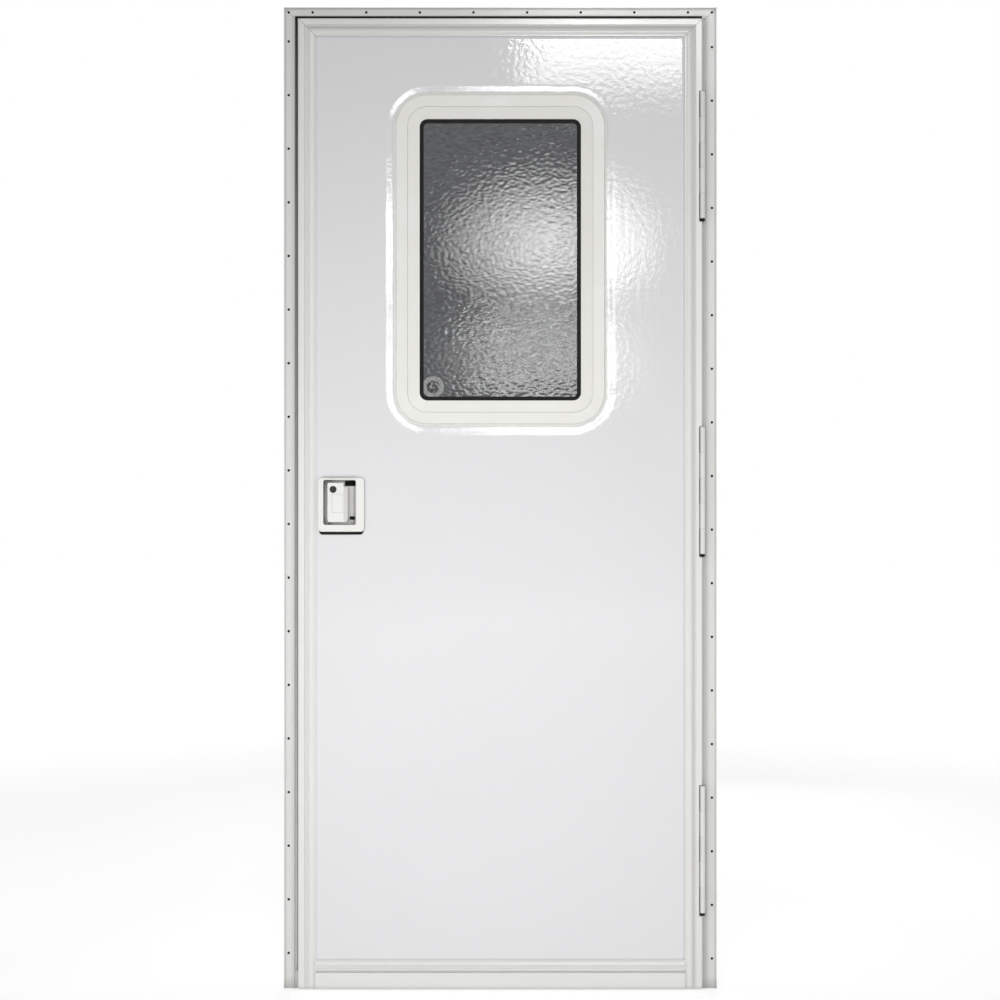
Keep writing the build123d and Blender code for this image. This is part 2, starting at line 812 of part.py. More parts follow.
# Lock bezel with its finger pan: the pocket's finger side slopes in, with a link slot and a drain
with BuildPart() as lock_bezel:
    with BuildSketch(face_plane(bezel_back)):
        with Locations((bezel_x, bezel_z)):
            RectangleRounded(bezel_width, bezel_height, bezel_radius)
    extrude(amount=bezel_thickness)
    fillet(lock_bezel.faces().sort_by(Axis.Y)[0].edges(), bezel_edge)
    with BuildSketch(face_plane(pan_back)):
        with Locations((pocket_x, pocket_z)):
            RectangleRounded(
                pocket_width + 2 * pan_wall,
                pocket_height + 2 * pan_wall,
                pocket_radius + pan_wall,
            )
    extrude(amount=pan_back - bezel_back)
    with BuildSketch(face_plane(pocket_floor)):
        with Locations((pocket_x - finger_slope / 2, pocket_z)):
            RectangleRounded(pocket_width - finger_slope, pocket_height, pocket_radius)
    with BuildSketch(face_plane(bezel_front)):
        with Locations((pocket_x, pocket_z)):
            RectangleRounded(pocket_width, pocket_height, pocket_radius)
    loft(ruled=True, mode=Mode.SUBTRACT)
    drain_right = pocket_right - finger_slope / 2
    drain_bottom = pocket_bottom + drain_rise
    block(
        (drain_right - drain_width, drain_right),
        (bezel_back, pan_back),
        (drain_bottom, drain_bottom + drain_height),
        mode=Mode.SUBTRACT,
    )
    slot_right = pocket_right - link_slot_margin
    slot_top = pocket_top - link_slot_margin
    block(
        (slot_right - link_slot_width, slot_right),
        (bezel_back, pan_back),
        (slot_top - link_slot_height, slot_top),
        mode=Mode.SUBTRACT,
    )
    with Locations((pivot_x, pivot_y, pocket_z)):
        Cylinder(pivot_radius + pin_clearance, pocket_height + 2 * pan_wall, mode=Mode.SUBTRACT)
save(lock_bezel, "lock_bezel")

with BuildPart() as lock_gasket:
    with BuildSketch(face_plane(cover_back)):
        with Locations((bezel_x, bezel_z - lock_gasket_drop)):
            RectangleRounded(bezel_width - 2 * bezel_edge, bezel_height, bezel_radius)
        with Locations((pocket_x, pocket_z)):
            Rectangle(lock_cut_width, lock_cut_height, mode=Mode.SUBTRACT)
    extrude(amount=lock_gasket_thickness)
save(lock_gasket, "lock_gasket")


def paddle_section(back):
    """Draws the paddle's section with its sloped free edge, as deep as this plane."""
    with BuildLine() as outline:
        Polyline(
            (paddle_left, paddle_front),
            (paddle_right - paddle_slope_width, paddle_front),
            (paddle_right, paddle_front + paddle_slope_depth),
            (paddle_right, back),
            (paddle_left, back),
            close=True,
        )
    make_face(outline.edges())


# Paddle handle: shell open to the back, sloped free edge, corner notch, key boss and pivot holes
with BuildPart() as paddle:
    notch_left = paddle_right - paddle_notch_width
    notch_bottom = paddle_top - paddle_notch_height
    cavity_top = notch_bottom - paddle_wall
    with BuildSketch(face_plane(paddle_back)):
        with Locations((paddle_x, pocket_z)):
            RectangleRounded(paddle_width, paddle_height, paddle_radius)
    extrude(amount=paddle_depth)
    with BuildSketch(Plane.XY.offset(paddle_bottom)):
        paddle_section(paddle_back)
    extrude(amount=paddle_height, mode=Mode.INTERSECT)
    fillet(paddle.faces().sort_by(Axis.Y)[0].edges(), paddle_edge)
    block(
        (notch_left, paddle_right),
        (paddle_front, paddle_back),
        (notch_bottom, paddle_top),
        mode=Mode.SUBTRACT,
    )
    with BuildSketch(Plane.XY.offset(paddle_bottom + paddle_wall)):
        paddle_section(paddle_back + paddle_wall)
        offset(amount=-paddle_wall, kind=Kind.INTERSECTION, mode=Mode.REPLACE)
    extrude(amount=cavity_top - paddle_bottom - paddle_wall, mode=Mode.SUBTRACT)
    block(
        (paddle_left + paddle_wall, notch_left - paddle_wall),
        (paddle_front + paddle_wall, paddle_back),
        (cavity_top, paddle_top - paddle_wall),
        mode=Mode.SUBTRACT,
    )
    with BuildSketch(face_plane(paddle_front + panel_depth)):
        with Locations((paddle_x, pocket_z - panel_drop)):
            RectangleRounded(panel_width, panel_height, panel_radius)
    extrude(amount=panel_depth, mode=Mode.SUBTRACT)
    with BuildSketch(face_plane(paddle_back)):
        with Locations((key_x, key_z)):
            Circle(key_radius + key_boss_wall)
    extrude(amount=paddle_depth - paddle_wall)
    with BuildSketch(face_plane(paddle_back)):
        with Locations((key_x, key_z)):
            Circle(key_radius + pin_clearance)
    extrude(amount=paddle_depth, mode=Mode.SUBTRACT)
    for pivot_end in (-1, 1):
        with Locations((pivot_x, pivot_y, pocket_z + pivot_end * (paddle_height - paddle_wall) / 2)):
            Cylinder(pivot_radius + pin_clearance, paddle_wall, mode=Mode.SUBTRACT)
save(paddle, "paddle")

with BuildPart() as paddle_pivots:
    pivot_inner = paddle_height / 2 - paddle_wall
    pivot_outer = pocket_height / 2 + pan_wall
    for pivot_end in (-1, 1):
        with Locations((pivot_x, pivot_y, pocket_z + pivot_end * (pivot_inner + pivot_outer) / 2)):
            Cylinder(pivot_radius, pivot_outer - pivot_inner)
save(paddle_pivots, "paddle_pivots")

with BuildPart() as key_cylinder:
    with BuildSketch(face_plane(paddle_front - key_proud + key_length)):
        with Locations((key_x, key_z)):
            Circle(key_radius)
    extrude(amount=key_length)
    chamfer(key_cylinder.faces().sort_by(Axis.Y)[0].edges(), key_edge)
    with BuildSketch(face_plane(paddle_front - key_proud + keyway_depth)):
        with Locations((key_x, key_z)):
            Rectangle(keyway_width, keyway_height)
    extrude(amount=keyway_depth, mode=Mode.SUBTRACT)
save(key_cylinder, "key_cylinder")

# Lock case behind the pan, bolts and their edge plate
with BuildPart() as lock_case:
    block(
        (case_left, case_right),
        (pan_back, leaf_back),
        (pocket_bottom, pocket_top),
    )
save(lock_case, "lock_case")

for bolt_name, bolt_z in bolt_heights.items():
    bolt_tip = faceplate_front - bolt_proud
    with BuildPart() as bolt:
        block(
            (bolt_tip, case_left),
            (bolt_y - bolt_thickness / 2, bolt_y + bolt_thickness / 2),
            (bolt_z - bolt_height / 2, bolt_z + bolt_height / 2),
        )
        if bolt_name == "latch_bolt":
            tip_edges = bolt.faces().sort_by(Axis.X)[0].edges().filter_by(Axis.Z)
            chamfer(tip_edges.sort_by(Axis.Y)[-1], bolt_nose)
    save(bolt, bolt_name)

with BuildPart() as lock_faceplate:
    block(
        (faceplate_front, -body_half),
        (bolt_y - plate_width / 2, bolt_y + plate_width / 2),
        (pocket_z - plate_height / 2, pocket_z + plate_height / 2),
    )
    bolt_slots((faceplate_front, -body_half))
save(lock_faceplate, "lock_faceplate")

# Inside of the lock: cover plate, release lever and thumb turn
plate_face = leaf_back + inner_plate_thickness
with BuildPart() as lock_inner_plate:
    with BuildSketch(face_plane(plate_face)):
        with Locations((pocket_x, pocket_z)):
            RectangleRounded(inner_plate_width, inner_plate_height, inner_plate_radius)
    extrude(amount=inner_plate_thickness)
    chamfer(lock_inner_plate.faces().sort_by(Axis.Y)[-1].edges(), inner_plate_edge)
save(lock_inner_plate, "lock_inner_plate")

with BuildPart() as release_lever:
    lever_z = pocket_z - inner_plate_height / 2 + lever_height / 2 + inner_plate_radius
    with BuildSketch(face_plane(plate_face + lever_depth)):
        with Locations((pocket_x, lever_z)):
            RectangleRounded(lever_width, lever_height, lever_edge)
    extrude(amount=lever_depth)
    fillet(release_lever.faces().sort_by(Axis.Y)[-1].edges(), lever_edge / 2)
save(release_lever, "release_lever")

with BuildPart() as thumb_turn:
    turn_z = pocket_z + inner_plate_height / 2 - turn_radius - inner_plate_radius
    with BuildSketch(face_plane(plate_face + turn_base)):
        with Locations((pocket_x, turn_z)):
            Circle(turn_radius)
    extrude(amount=turn_base)
    with BuildSketch(face_plane(plate_face + turn_base + turn_wing_depth)):
        with Locations((pocket_x, turn_z)):
            SlotOverall(turn_wing_length, turn_wing_width, rotation=90)
    extrude(amount=turn_wing_depth)
save(thumb_turn, "thumb_turn")
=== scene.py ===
"""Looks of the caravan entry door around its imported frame: finishes, fine pieces, light and camera."""

import logging
import math
from abc import ABC, abstractmethod
from collections.abc import Callable, Iterable, Sequence
from dataclasses import dataclass
from enum import Enum
from typing import Any

import bmesh
import bpy
from mathutils import Matrix, Vector, noise


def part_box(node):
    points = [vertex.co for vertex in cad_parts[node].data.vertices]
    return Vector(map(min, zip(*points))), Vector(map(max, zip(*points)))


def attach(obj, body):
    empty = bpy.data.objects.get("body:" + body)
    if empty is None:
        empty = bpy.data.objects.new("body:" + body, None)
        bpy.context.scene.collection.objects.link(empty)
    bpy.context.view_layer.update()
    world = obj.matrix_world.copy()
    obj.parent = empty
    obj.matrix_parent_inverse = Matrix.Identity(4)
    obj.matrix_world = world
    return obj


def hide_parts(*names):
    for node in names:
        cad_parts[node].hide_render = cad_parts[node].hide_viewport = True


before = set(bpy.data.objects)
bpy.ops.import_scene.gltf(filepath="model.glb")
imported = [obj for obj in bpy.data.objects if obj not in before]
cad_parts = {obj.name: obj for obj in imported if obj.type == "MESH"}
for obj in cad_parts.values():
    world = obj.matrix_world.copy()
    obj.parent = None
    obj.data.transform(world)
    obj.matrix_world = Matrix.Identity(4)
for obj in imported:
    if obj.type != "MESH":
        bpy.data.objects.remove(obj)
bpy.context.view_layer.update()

log = logging.getLogger("entry_door")

Colour = tuple[float, float, float]
Point = tuple[float, float, float]
Range = tuple[float, float]
Seats = list[tuple[Vector, Vector]]

LEFTWARD = Vector((-1.0, 0.0, 0.0))
RIGHTWARD = Vector((1.0, 0.0, 0.0))
OUTWARD = Vector((0.0, -1.0, 0.0))
INWARD = Vector((0.0, 1.0, 0.0))
DOWNWARD = Vector((0.0, 0.0, -1.0))


def maths(operation: str, swapped: bool = False) -> Callable[..., "Value"]:
    """Makes one of the operators of a shader value.

    Args:
        operation: the Math node's operation.
        swapped: whether the value stands on the right of a number.

    Returns:
        The method, which adds the node.
    """

    def operator(value: "Value", other: "Value | float" = 0.0) -> "Value":
        """The result of a new Math node."""
        operands = (other, value) if swapped else (value, other)
        return value.shader.node("ShaderNodeMath", {"operation": operation}, dict(enumerate(operands)))

    return operator


class Value:
    """A shader socket that takes part in Python arithmetic. The larger of two masks is a | b."""

    __add__ = maths("ADD")
    __radd__ = maths("ADD", swapped=True)
    __sub__ = maths("SUBTRACT")
    __rsub__ = maths("SUBTRACT", swapped=True)
    __mul__ = maths("MULTIPLY")
    __rmul__ = maths("MULTIPLY", swapped=True)
    __pow__ = maths("POWER")
    __abs__ = maths("ABSOLUTE")
    __lt__ = maths("LESS_THAN")
    __or__ = maths("MAXIMUM")

    def __init__(self, shader: "Shader", socket: bpy.types.NodeSocket | None) -> None:
        """Keeps the socket and the shader that it belongs to."""
        self.shader = shader
        self.socket = socket

    def swing(self, width: float) -> "Value":
        """A noise between 0 and 1 as a swing round zero, this wide in all."""
        return (self - 0.5) * width

    def blend(self, other: "Value", share: float) -> "Value":
        """This value with a share of another one mixed in."""
        return self * (1 - share) + other * share


class Shader:
    """The node tree of one material or of the world."""

    def __init__(self, tree: bpy.types.NodeTree) -> None:
        """Clears the tree that the nodes go into."""
        self.tree = tree
        tree.nodes.clear()

    def node(
        self,
        kind: str,
        settings: dict[str, Any] | None = None,
        values: dict[int | str, Any] | None = None,
        output: int | str = 0,
    ) -> Value:
        """Adds a node.

        Args:
            kind: the node's type.
            settings: its properties, set first; "stops" holds the places of a ramp's black and white.
            values: numbers, colours or links for its sockets.
            output: which of its outputs to hand on.

        Returns:
            That output, or an empty value for a node without outputs.
        """
        made = self.tree.nodes.new(kind)
        for key, setting in (settings or {}).items():
            if key == "stops":
                for element, stop in zip(made.color_ramp.elements, setting, strict=True):
                    element.position = stop
            else:
                setattr(made, key, setting)
        for key, value in (values or {}).items():
            if isinstance(value, Value):
                self.tree.links.new(value.socket, made.inputs[key])
            else:
                made.inputs[key].default_value = value
        return Value(self, made.outputs[output] if made.outputs else None)

    def place(self) -> Value:
        """Coordinates that stay with the piece, in metres."""
        return self.node("ShaderNodeTexCoord", output="Object")

    def along(self, place: Value, axis: str) -> Value:
        """One of a place's coordinates: X, Y or Z."""
        return self.node("ShaderNodeSeparateXYZ", values={"Vector": place}, output=axis)

    def stretch(self, place: Value, scale: Point) -> Value:
        """Coordinates scaled along each axis."""
        return self.node("ShaderNodeMapping", values={"Vector": place, "Scale": scale})

    def mottle(self, place: Value, size: float, detail: float = 2.0) -> Value:
        """Soft noise between 0 and 1, with patches of this size in metres and finer layers in them."""
        return self.node("ShaderNodeTexNoise", values={"Vector": place, "Scale": 1 / size, "Detail": detail})

    def cells(self, place: Value, size: float, feature: str = "F1") -> Value:
        """How far a place lies from the middle of its cell, for cells of this size in metres."""
        values = {"Vector": place, "Scale": 1 / size}
        return self.node("ShaderNodeTexVoronoi", {"feature": feature}, values)

    def ramp(self, value: Value, ends: Range) -> Value:
        """Zero below the lower end, one above the upper end, and even between them."""
        return self.node("ShaderNodeValToRGB", {"stops": ends}, {"Fac": value})

    def mix(self, share: Value, first: Colour | Value, second: Colour | Value) -> Value:
        """Two colours, plain or linked, with this share of the second."""
        # The node has sockets for every type of data; 6, 7 and output 2 are those for colours.
        colours = [c if isinstance(c, Value) else (*c, 1.0) for c in (first, second)]
        return self.node("ShaderNodeMix", {"data_type": "RGBA"}, {0: share, 6: colours[0], 7: colours[1]}, 2)

    def bump(self, height: Value, depth: float) -> Value:
        """Normals of a relief between 0 and 1, this deep in metres."""
        return self.node("ShaderNodeBump", values={"Strength": 1.0, "Distance": depth, "Height": height})

    def grime(self, reach: float) -> Value:
        """How much of a place's sky surfaces within this reach hide, near one in gaps and zero in the open:
        the mask of painted shade, with some grime.
        """
        return 1 - self.node("ShaderNodeAmbientOcclusion", {"samples": 6}, {"Distance": reach}, "AO")

    def principled(self, values: dict[str, Any]) -> Value:
        """The usual surface shader with these sockets set."""
        return self.node("ShaderNodeBsdfPrincipled", values=values)

    def seen(self) -> Value:
        """Tells the rays that show a surface from those that light others by it.

        Returns:
            One for rays from the camera, in reflections and through glass, zero for others.
        """
        kinds = ("Camera", "Glossy", "Transmission")
        rays = [self.node("ShaderNodeLightPath", output=f"Is {kind} Ray") for kind in kinds]
        return rays[0] | rays[1] | rays[2]


def shade(colour: Colour, level: float) -> Colour:
    """The same colour, darker or lighter by this factor."""
    return (colour[0] * level, colour[1] * level, colour[2] * level)


def shades(colour: Colour, levels: Range) -> tuple[Colour, Colour]:
    """The same colour at two levels."""
    return shade(colour, levels[0]), shade(colour, levels[1])


class Grain(Enum):
    """Which way an extruded bar runs: its draw lines are stretched along it."""

    UPRIGHT = (1.0, 1.0, 0.012)
    LEVEL = (0.012, 1.0, 1.0)


class Plating(Enum):
    """States of plated metal: colour and roughness."""

    BRIGHT = ((0.55, 0.55, 0.54), 0.34)
    DULL = ((0.20, 0.20, 0.195), 0.50)
    DARK = ((0.045, 0.045, 0.045), 0.30)
    BLACKENED = ((0.016, 0.016, 0.016), 0.55)


class Finish(ABC):
    """A finish that makes its own material."""

    slot: str

    @property
    def label(self) -> str:
        """The material's name."""
        return self.slot

    @abstractmethod
    def surface(self, shader: Shader) -> Value:
        """Builds the finish's surface in a material's tree."""

    def material(self) -> bpy.types.Material:
        """Makes the finish's material when it is first asked for.

        Returns:
            The material.
        """
        name = f"finish_{self.label}"
        made = bpy.data.materials.get(name)
        if made is None:
            made = bpy.data.materials.new(name)
            made.use_nodes = True
            shader = Shader(made.node_tree)
            shader.node("ShaderNodeOutputMaterial", values={"Surface": self.surface(shader)})
        return made


@dataclass(frozen=True)
class ExtrusionPaint(Finish):
    """Satin paint on an aluminium extrusion, with faint draw lines along the bar."""

    slot: str
    colour: Colour
    grain: Grain
    mitre_rise: float
    roughness: float = 0.20
    tones: Range = (0.955, 1.035)
    cloud_size: float = 0.16
    cloud_gloss: float = 0.10
    line_size: float = 0.0022
    line_share: float = 0.4
    line_gloss: float = 0.06
    speck_range: Range = (0.70, 0.80)
    speck_share: float = 0.16
    speck_tone: float = 0.62
    peel_size: float = 0.0016
    peel_depth: float = 0.00003
    # Colour, reach, curve and share of the painted shade, with some grime, in gaps.
    grime: Colour = (0.20, 0.195, 0.18)
    grime_reach: float = 0.009
    grime_curve: float = 0.7
    grime_share: float = 0.95
    grime_gloss: float = 0.5
    mitre_half_width: float = 0.0006
    mitre_dirt: float = 0.7
    refraction: float = 1.48

    @property
    def label(self) -> str:
        """The slot with the way the bar runs."""
        return f"{self.slot}_{self.grain.name.lower()}"

    def surface(self, shader: Shader) -> Value:
        """Paint whose tone, gloss and relief follow clouds, draw lines and a fine peel.

        Args:
            shader: the material's tree.

        Returns:
            The surface.
        """
        place = shader.place()
        lines = shader.mottle(shader.stretch(place, self.grain.value), self.line_size)
        clouds = shader.mottle(place, self.cloud_size, detail=4.0)
        peel = shader.mottle(place, self.peel_size)
        specks = shader.ramp(shader.mottle(place, self.line_size, detail=5.0), self.speck_range)
        paint = shader.mix(clouds.blend(lines, self.line_share), *shades(self.colour, self.tones))
        dusty = shader.mix(specks * self.speck_share, paint, shade(self.colour, self.speck_tone))
        # Darkens gaps and hollows: painted shade, with some dirt; the mitre seam is dirt.
        dirt = self._dirt(shader, place)
        dullness = clouds.swing(self.cloud_gloss) + lines.swing(self.line_gloss) + dirt * self.grime_gloss
        return shader.principled({
            "Base Color": shader.mix(dirt, dusty, self.grime),
            "Roughness": self.roughness + dullness,
            "Normal": shader.bump(peel.blend(lines, self.line_share), self.peel_depth),
            "IOR": self.refraction,
        })

    def _dirt(self, shader: Shader, place: Value) -> Value:
        """Finds painted shade, with some dirt, in gaps, and dirt in the seam where an upright meets the head
        at 45 degrees.

        Args:
            shader: the material's tree.
            place: coordinates that stay with the piece.

        Returns:
            How much dirt lies there, from 0 to 1.
        """
        offset = abs(shader.along(place, "X")) - shader.along(place, "Z") + self.mitre_rise
        seam = (abs(offset) < self.mitre_half_width) * self.mitre_dirt
        return shader.grime(self.grime_reach) ** self.grime_curve * self.grime_share | seam


@dataclass(frozen=True)
class GroovedPaint(ExtrusionPaint):
    """Paint on a leaf bar, with painted shade along the groove between its beads."""

    roughness: float = 0.17
    grime_share: float = 0.55
    edge: float = 0.0
    groove_inset: float = 0.01675
    groove_reach: float = 0.0040
    groove_range: Range = (0.0, 0.7)
    groove_back: float = -0.0090
    groove_dirt: float = 0.36

    @property
    def label(self) -> str:
        """The slot with the way the bar runs and how much painted shade lies in its groove."""
        return f"{super().label}_{round(self.groove_dirt * 100)}"

    def _dirt(self, shader: Shader, place: Value) -> Value:
        """Adds the groove's painted shade, found by its distance from the leaf's edge.

        Args:
            shader: the material's tree.
            place: coordinates that stay with the piece.

        Returns:
            How much dirt lies there, from 0 to 1.
        """
        axis = "X" if self.grain is Grain.UPRIGHT else "Z"
        inset = self.edge - abs(shader.along(place, axis))
        share = 1 - abs(inset - self.groove_inset) * (1 / self.groove_reach)
        front = shader.along(place, "Y") < self.groove_back
        # Painted shade along the groove, set stronger on the bars that lie darker.
        groove = shader.ramp(share, self.groove_range) * front * self.groove_dirt
        return super()._dirt(shader, place) | groove


@dataclass(frozen=True)
class GelCoat(Finish):
    """Glossy gel coat over glass fibre: orange peel, a faint print of the mat and polishing haze."""

    slot: str
    colour: Colour
    roughness: float = 0.04
    tones: Range = (0.975, 1.02)
    cloud_size: float = 0.30
    peel_size: float = 0.010
    peel_depth: float = 0.00013
    fine_size: float = 0.0028
    fine_share: float = 0.1
    haze_size: float = 0.040
    haze_gloss: float = 0.04
    grime: Colour = (0.24, 0.235, 0.22)
    grime_reach: float = 0.006
    grime_curve: float = 0.8
    grime_share: float = 0.15
    refraction: float = 1.55

    def surface(self, shader: Shader) -> Value:
        """Near-mirror white whose reflections break up in the orange peel.

        Args:
            shader: the material's tree.

        Returns:
            The surface.
        """
        place = shader.place()
        clouds = shader.mottle(place, self.cloud_size, detail=3.0)
        peel = shader.mottle(place, self.peel_size, detail=1.0)
        fine = shader.mottle(place, self.fine_size, detail=1.0)
        haze = shader.mottle(place, self.haze_size, detail=4.0)
        coat = shader.mix(clouds, *shades(self.colour, self.tones))
        # Darkens the skin beside the parts that stand proud of it: painted shade, with some grime.
        dirt = shader.grime(self.grime_reach) ** self.grime_curve * self.grime_share
        return shader.principled({
            "Base Color": shader.mix(dirt, coat, self.grime),
            "Roughness": self.roughness + haze.swing(self.haze_gloss),
            "Normal": shader.bump(peel.blend(fine, self.fine_share), self.peel_depth),
            "IOR": self.refraction,
        })


@dataclass(frozen=True)
class Moulding(Finish):
    """Moulded plastic: flow clouds, a fine spark-eroded grain and slight yellowing."""

    slot: str
    colour: Colour
    roughness: float
    tones: Range = (1.02, 0.97)
    ageing: Colour = (1.0, 0.985, 0.94)
    flow_size: float = 0.05
    flow_gloss: float = 0.12
    grain_size: float = 0.0009
    grain_depth: float = 0.000025
    grain_gloss: float = 0.10
    grime: Colour = (0.22, 0.215, 0.20)
    grime_reach: float = 0.007
    grime_range: Range = (0.0, 1.0)
    grime_curve: float = 1.5
    grime_share: float = 0.8
    refraction: float = 1.49

    def surface(self, shader: Shader) -> Value:
        """Plastic whose tone drifts with the flow and whose gloss follows the grain.

        Args:
            shader: the material's tree.

        Returns:
            The surface.
        """
        place = shader.place()
        flow = shader.mottle(place, self.flow_size, detail=3.0)
        grain = shader.mottle(place, self.grain_size, detail=1.0)
        aged = tuple(c * a for c, a in zip(self.colour, self.ageing, strict=True))
        plastic = shader.mix(flow, shade(self.colour, self.tones[0]), shade(aged, self.tones[1]))
        # Darkens hollows and the edges beside other parts: painted shade, with some grime.
        hidden = shader.ramp(shader.grime(self.grime_reach), self.grime_range) ** self.grime_curve
        return shader.principled({
            "Base Color": shader.mix(hidden * self.grime_share, plastic, self.grime),
            "Roughness": self.roughness + flow.swing(self.flow_gloss) + grain.swing(self.grain_gloss),
            "Normal": shader.bump(grain, self.grain_depth),
            "IOR": self.refraction,
        })


@dataclass(frozen=True)
class Lining(Finish):
    """Matt lining sheet with a pebbled emboss."""

    slot: str
    colour: Colour
    roughness: float = 0.62
    tones: Range = (0.96, 1.02)
    cloud_size: float = 0.22
    pebble_size: float = 0.0024
    pebble_depth: float = 0.00012
    pebble_gloss: float = 0.12
    crease_share: float = 0.16
    crease_tone: float = 0.70

    def surface(self, shader: Shader) -> Value:
        """Soft-edged pebbles, with painted shade darkening the creases between them.

        Args:
            shader: the material's tree.

        Returns:
            The surface.
        """
        place = shader.place()
        cells = shader.cells(place, self.pebble_size, "SMOOTH_F1")
        clouds = shader.mottle(place, self.cloud_size, detail=4.0)
        worn = shader.mix(clouds, *shades(self.colour, self.tones))
        # Darker creases between the pebbles: painted shade.
        crease = shade(self.colour, self.crease_tone)
        return shader.principled({
            "Base Color": shader.mix(cells * self.crease_share, worn, crease),
            "Roughness": self.roughness - cells * self.pebble_gloss,
            "Normal": shader.bump(1 - cells, self.pebble_depth),
        })


@dataclass(frozen=True)
class Rubber(Finish):
    """Matt black rubber with a dusty bloom."""

    slot: str
    clean: Colour = (0.006, 0.006, 0.006)
    covered: Colour = (0.016, 0.016, 0.015)
    roughness: float = 0.55
    cover_gloss: float = 0.25
    patch_size: float = 0.018
    bloom_range: Range = (0.45, 0.8)
    grain_size: float = 0.0007
    grain_depth: float = 0.00004
    shine: float = 0.18

    def surface(self, shader: Shader) -> Value:
        """Near-black rubber, paler and duller where bloom or dust lies on it; on the dusty kind the paleness
        is also painted light.

        Args:
            shader: the material's tree.

        Returns:
            The surface.
        """
        place = shader.place()
        patches = shader.mottle(place, self.patch_size, detail=5.0)
        cover, dullness = self._cover(shader, place, patches)
        return shader.principled({
            "Base Color": shader.mix(cover, self.clean, self.covered),
            "Roughness": self.roughness + dullness * self.cover_gloss,
            "Normal": shader.bump(shader.mottle(place, self.grain_size), self.grain_depth),
            "Specular IOR Level": self.shine,
        })

    def _cover(self, shader: Shader, place: Value, patches: Value) -> tuple[Value, Value]:
        """How much of the bloom shows, and how dull it is, both by its patches."""
        bloom = shader.ramp(patches, self.bloom_range)
        return bloom, bloom


@dataclass(frozen=True)
class DustyRubber(Rubber):
    """Rubber that grows paler toward the sill: road dust, and painted light where the gap beside the leaf's
    lip is lit more lower down.
    """

    clean: Colour = (0.012, 0.012, 0.012)
    covered: Colour = (0.72, 0.71, 0.69)
    roughness: float = 0.60
    dust_top: float = 1.85
    dust_curve: float = 0.8
    dust_share: float = 0.85
    patch_width: float = 0.12

    @property
    def label(self) -> str:
        """The slot, marked as dusty; its paleness is dust and painted light."""
        return f"{self.slot}_dusty"

    def _cover(self, shader: Shader, place: Value, patches: Value) -> tuple[Value, Value]:
        """How pale it is, more on the way down, for dust and painted light, and how dull its patches are."""
        # Paler toward the sill: dust, and painted light standing in for the brighter lower gap.
        dust = (1 - shader.along(place, "Z") * (1 / self.dust_top)) ** self.dust_curve * self.dust_share
        return dust + patches.swing(self.patch_width), patches


@dataclass(frozen=True)
class PlatedMetal(Finish):
    """Plated metal: brush lines, clouded plating and small dull spots."""

    slot: str
    plating: Plating
    brush: Grain = Grain.UPRIGHT
    brush_size: float = 0.0006
    brush_depth: float = 0.00002
    brush_gloss: float = 0.22
    tones: Range = (0.82, 1.12)
    cloud_size: float = 0.012
    spot_size: float = 0.004
    spot_range: Range = (0.62, 0.72)
    spot_share: float = 0.5
    spot_tone: float = 0.45
    spot_loss: float = 0.35
    spot_gloss: float = 0.25

    @property
    def label(self) -> str:
        """The slot with the plating's state."""
        return f"{self.slot}_{self.plating.name.lower()}"

    def surface(self, shader: Shader) -> Value:
        """Metal whose gloss is broken by brush lines and dull spots.

        Args:
            shader: the material's tree.

        Returns:
            The surface.
        """
        place = shader.place()
        colour, roughness = self.plating.value
        lines = shader.mottle(shader.stretch(place, self.brush.value), self.brush_size)
        clouds = shader.mottle(place, self.cloud_size, detail=4.0)
        spots = shader.ramp(shader.mottle(place, self.spot_size, detail=6.0), self.spot_range)
        plated = shader.mix(clouds, *shades(colour, self.tones))
        return shader.principled({
            "Base Color": shader.mix(spots * self.spot_share, plated, shade(colour, self.spot_tone)),
            "Metallic": 1 - spots * self.spot_loss,
            "Roughness": roughness + lines.swing(self.brush_gloss) + spots * self.spot_gloss,
            "Normal": shader.bump(lines, self.brush_depth),
        })


@dataclass(frozen=True)
class FoamCore(Finish):
    """Pale rigid foam with open cells."""

    slot: str
    colour: Colour
    roughness: float = 0.78
    tones: Range = (0.72, 1.05)
    cell_size: float = 0.0018
    cell_depth: float = 0.0004
    cell_gloss: float = 0.15

    def surface(self, shader: Shader) -> Value:
        """Cells whose mouths are darkened by painted shade.

        Args:
            shader: the material's tree.

        Returns:
            The surface.
        """
        # Darker cell mouths: painted shade in the open cells.
        cells = shader.cells(shader.place(), self.cell_size)
        return shader.principled({
            "Base Color": shader.mix(cells, *shades(self.colour, self.tones)),
            "Roughness": self.roughness + cells * self.cell_gloss,
            "Normal": shader.bump(cells, self.cell_depth),
        })


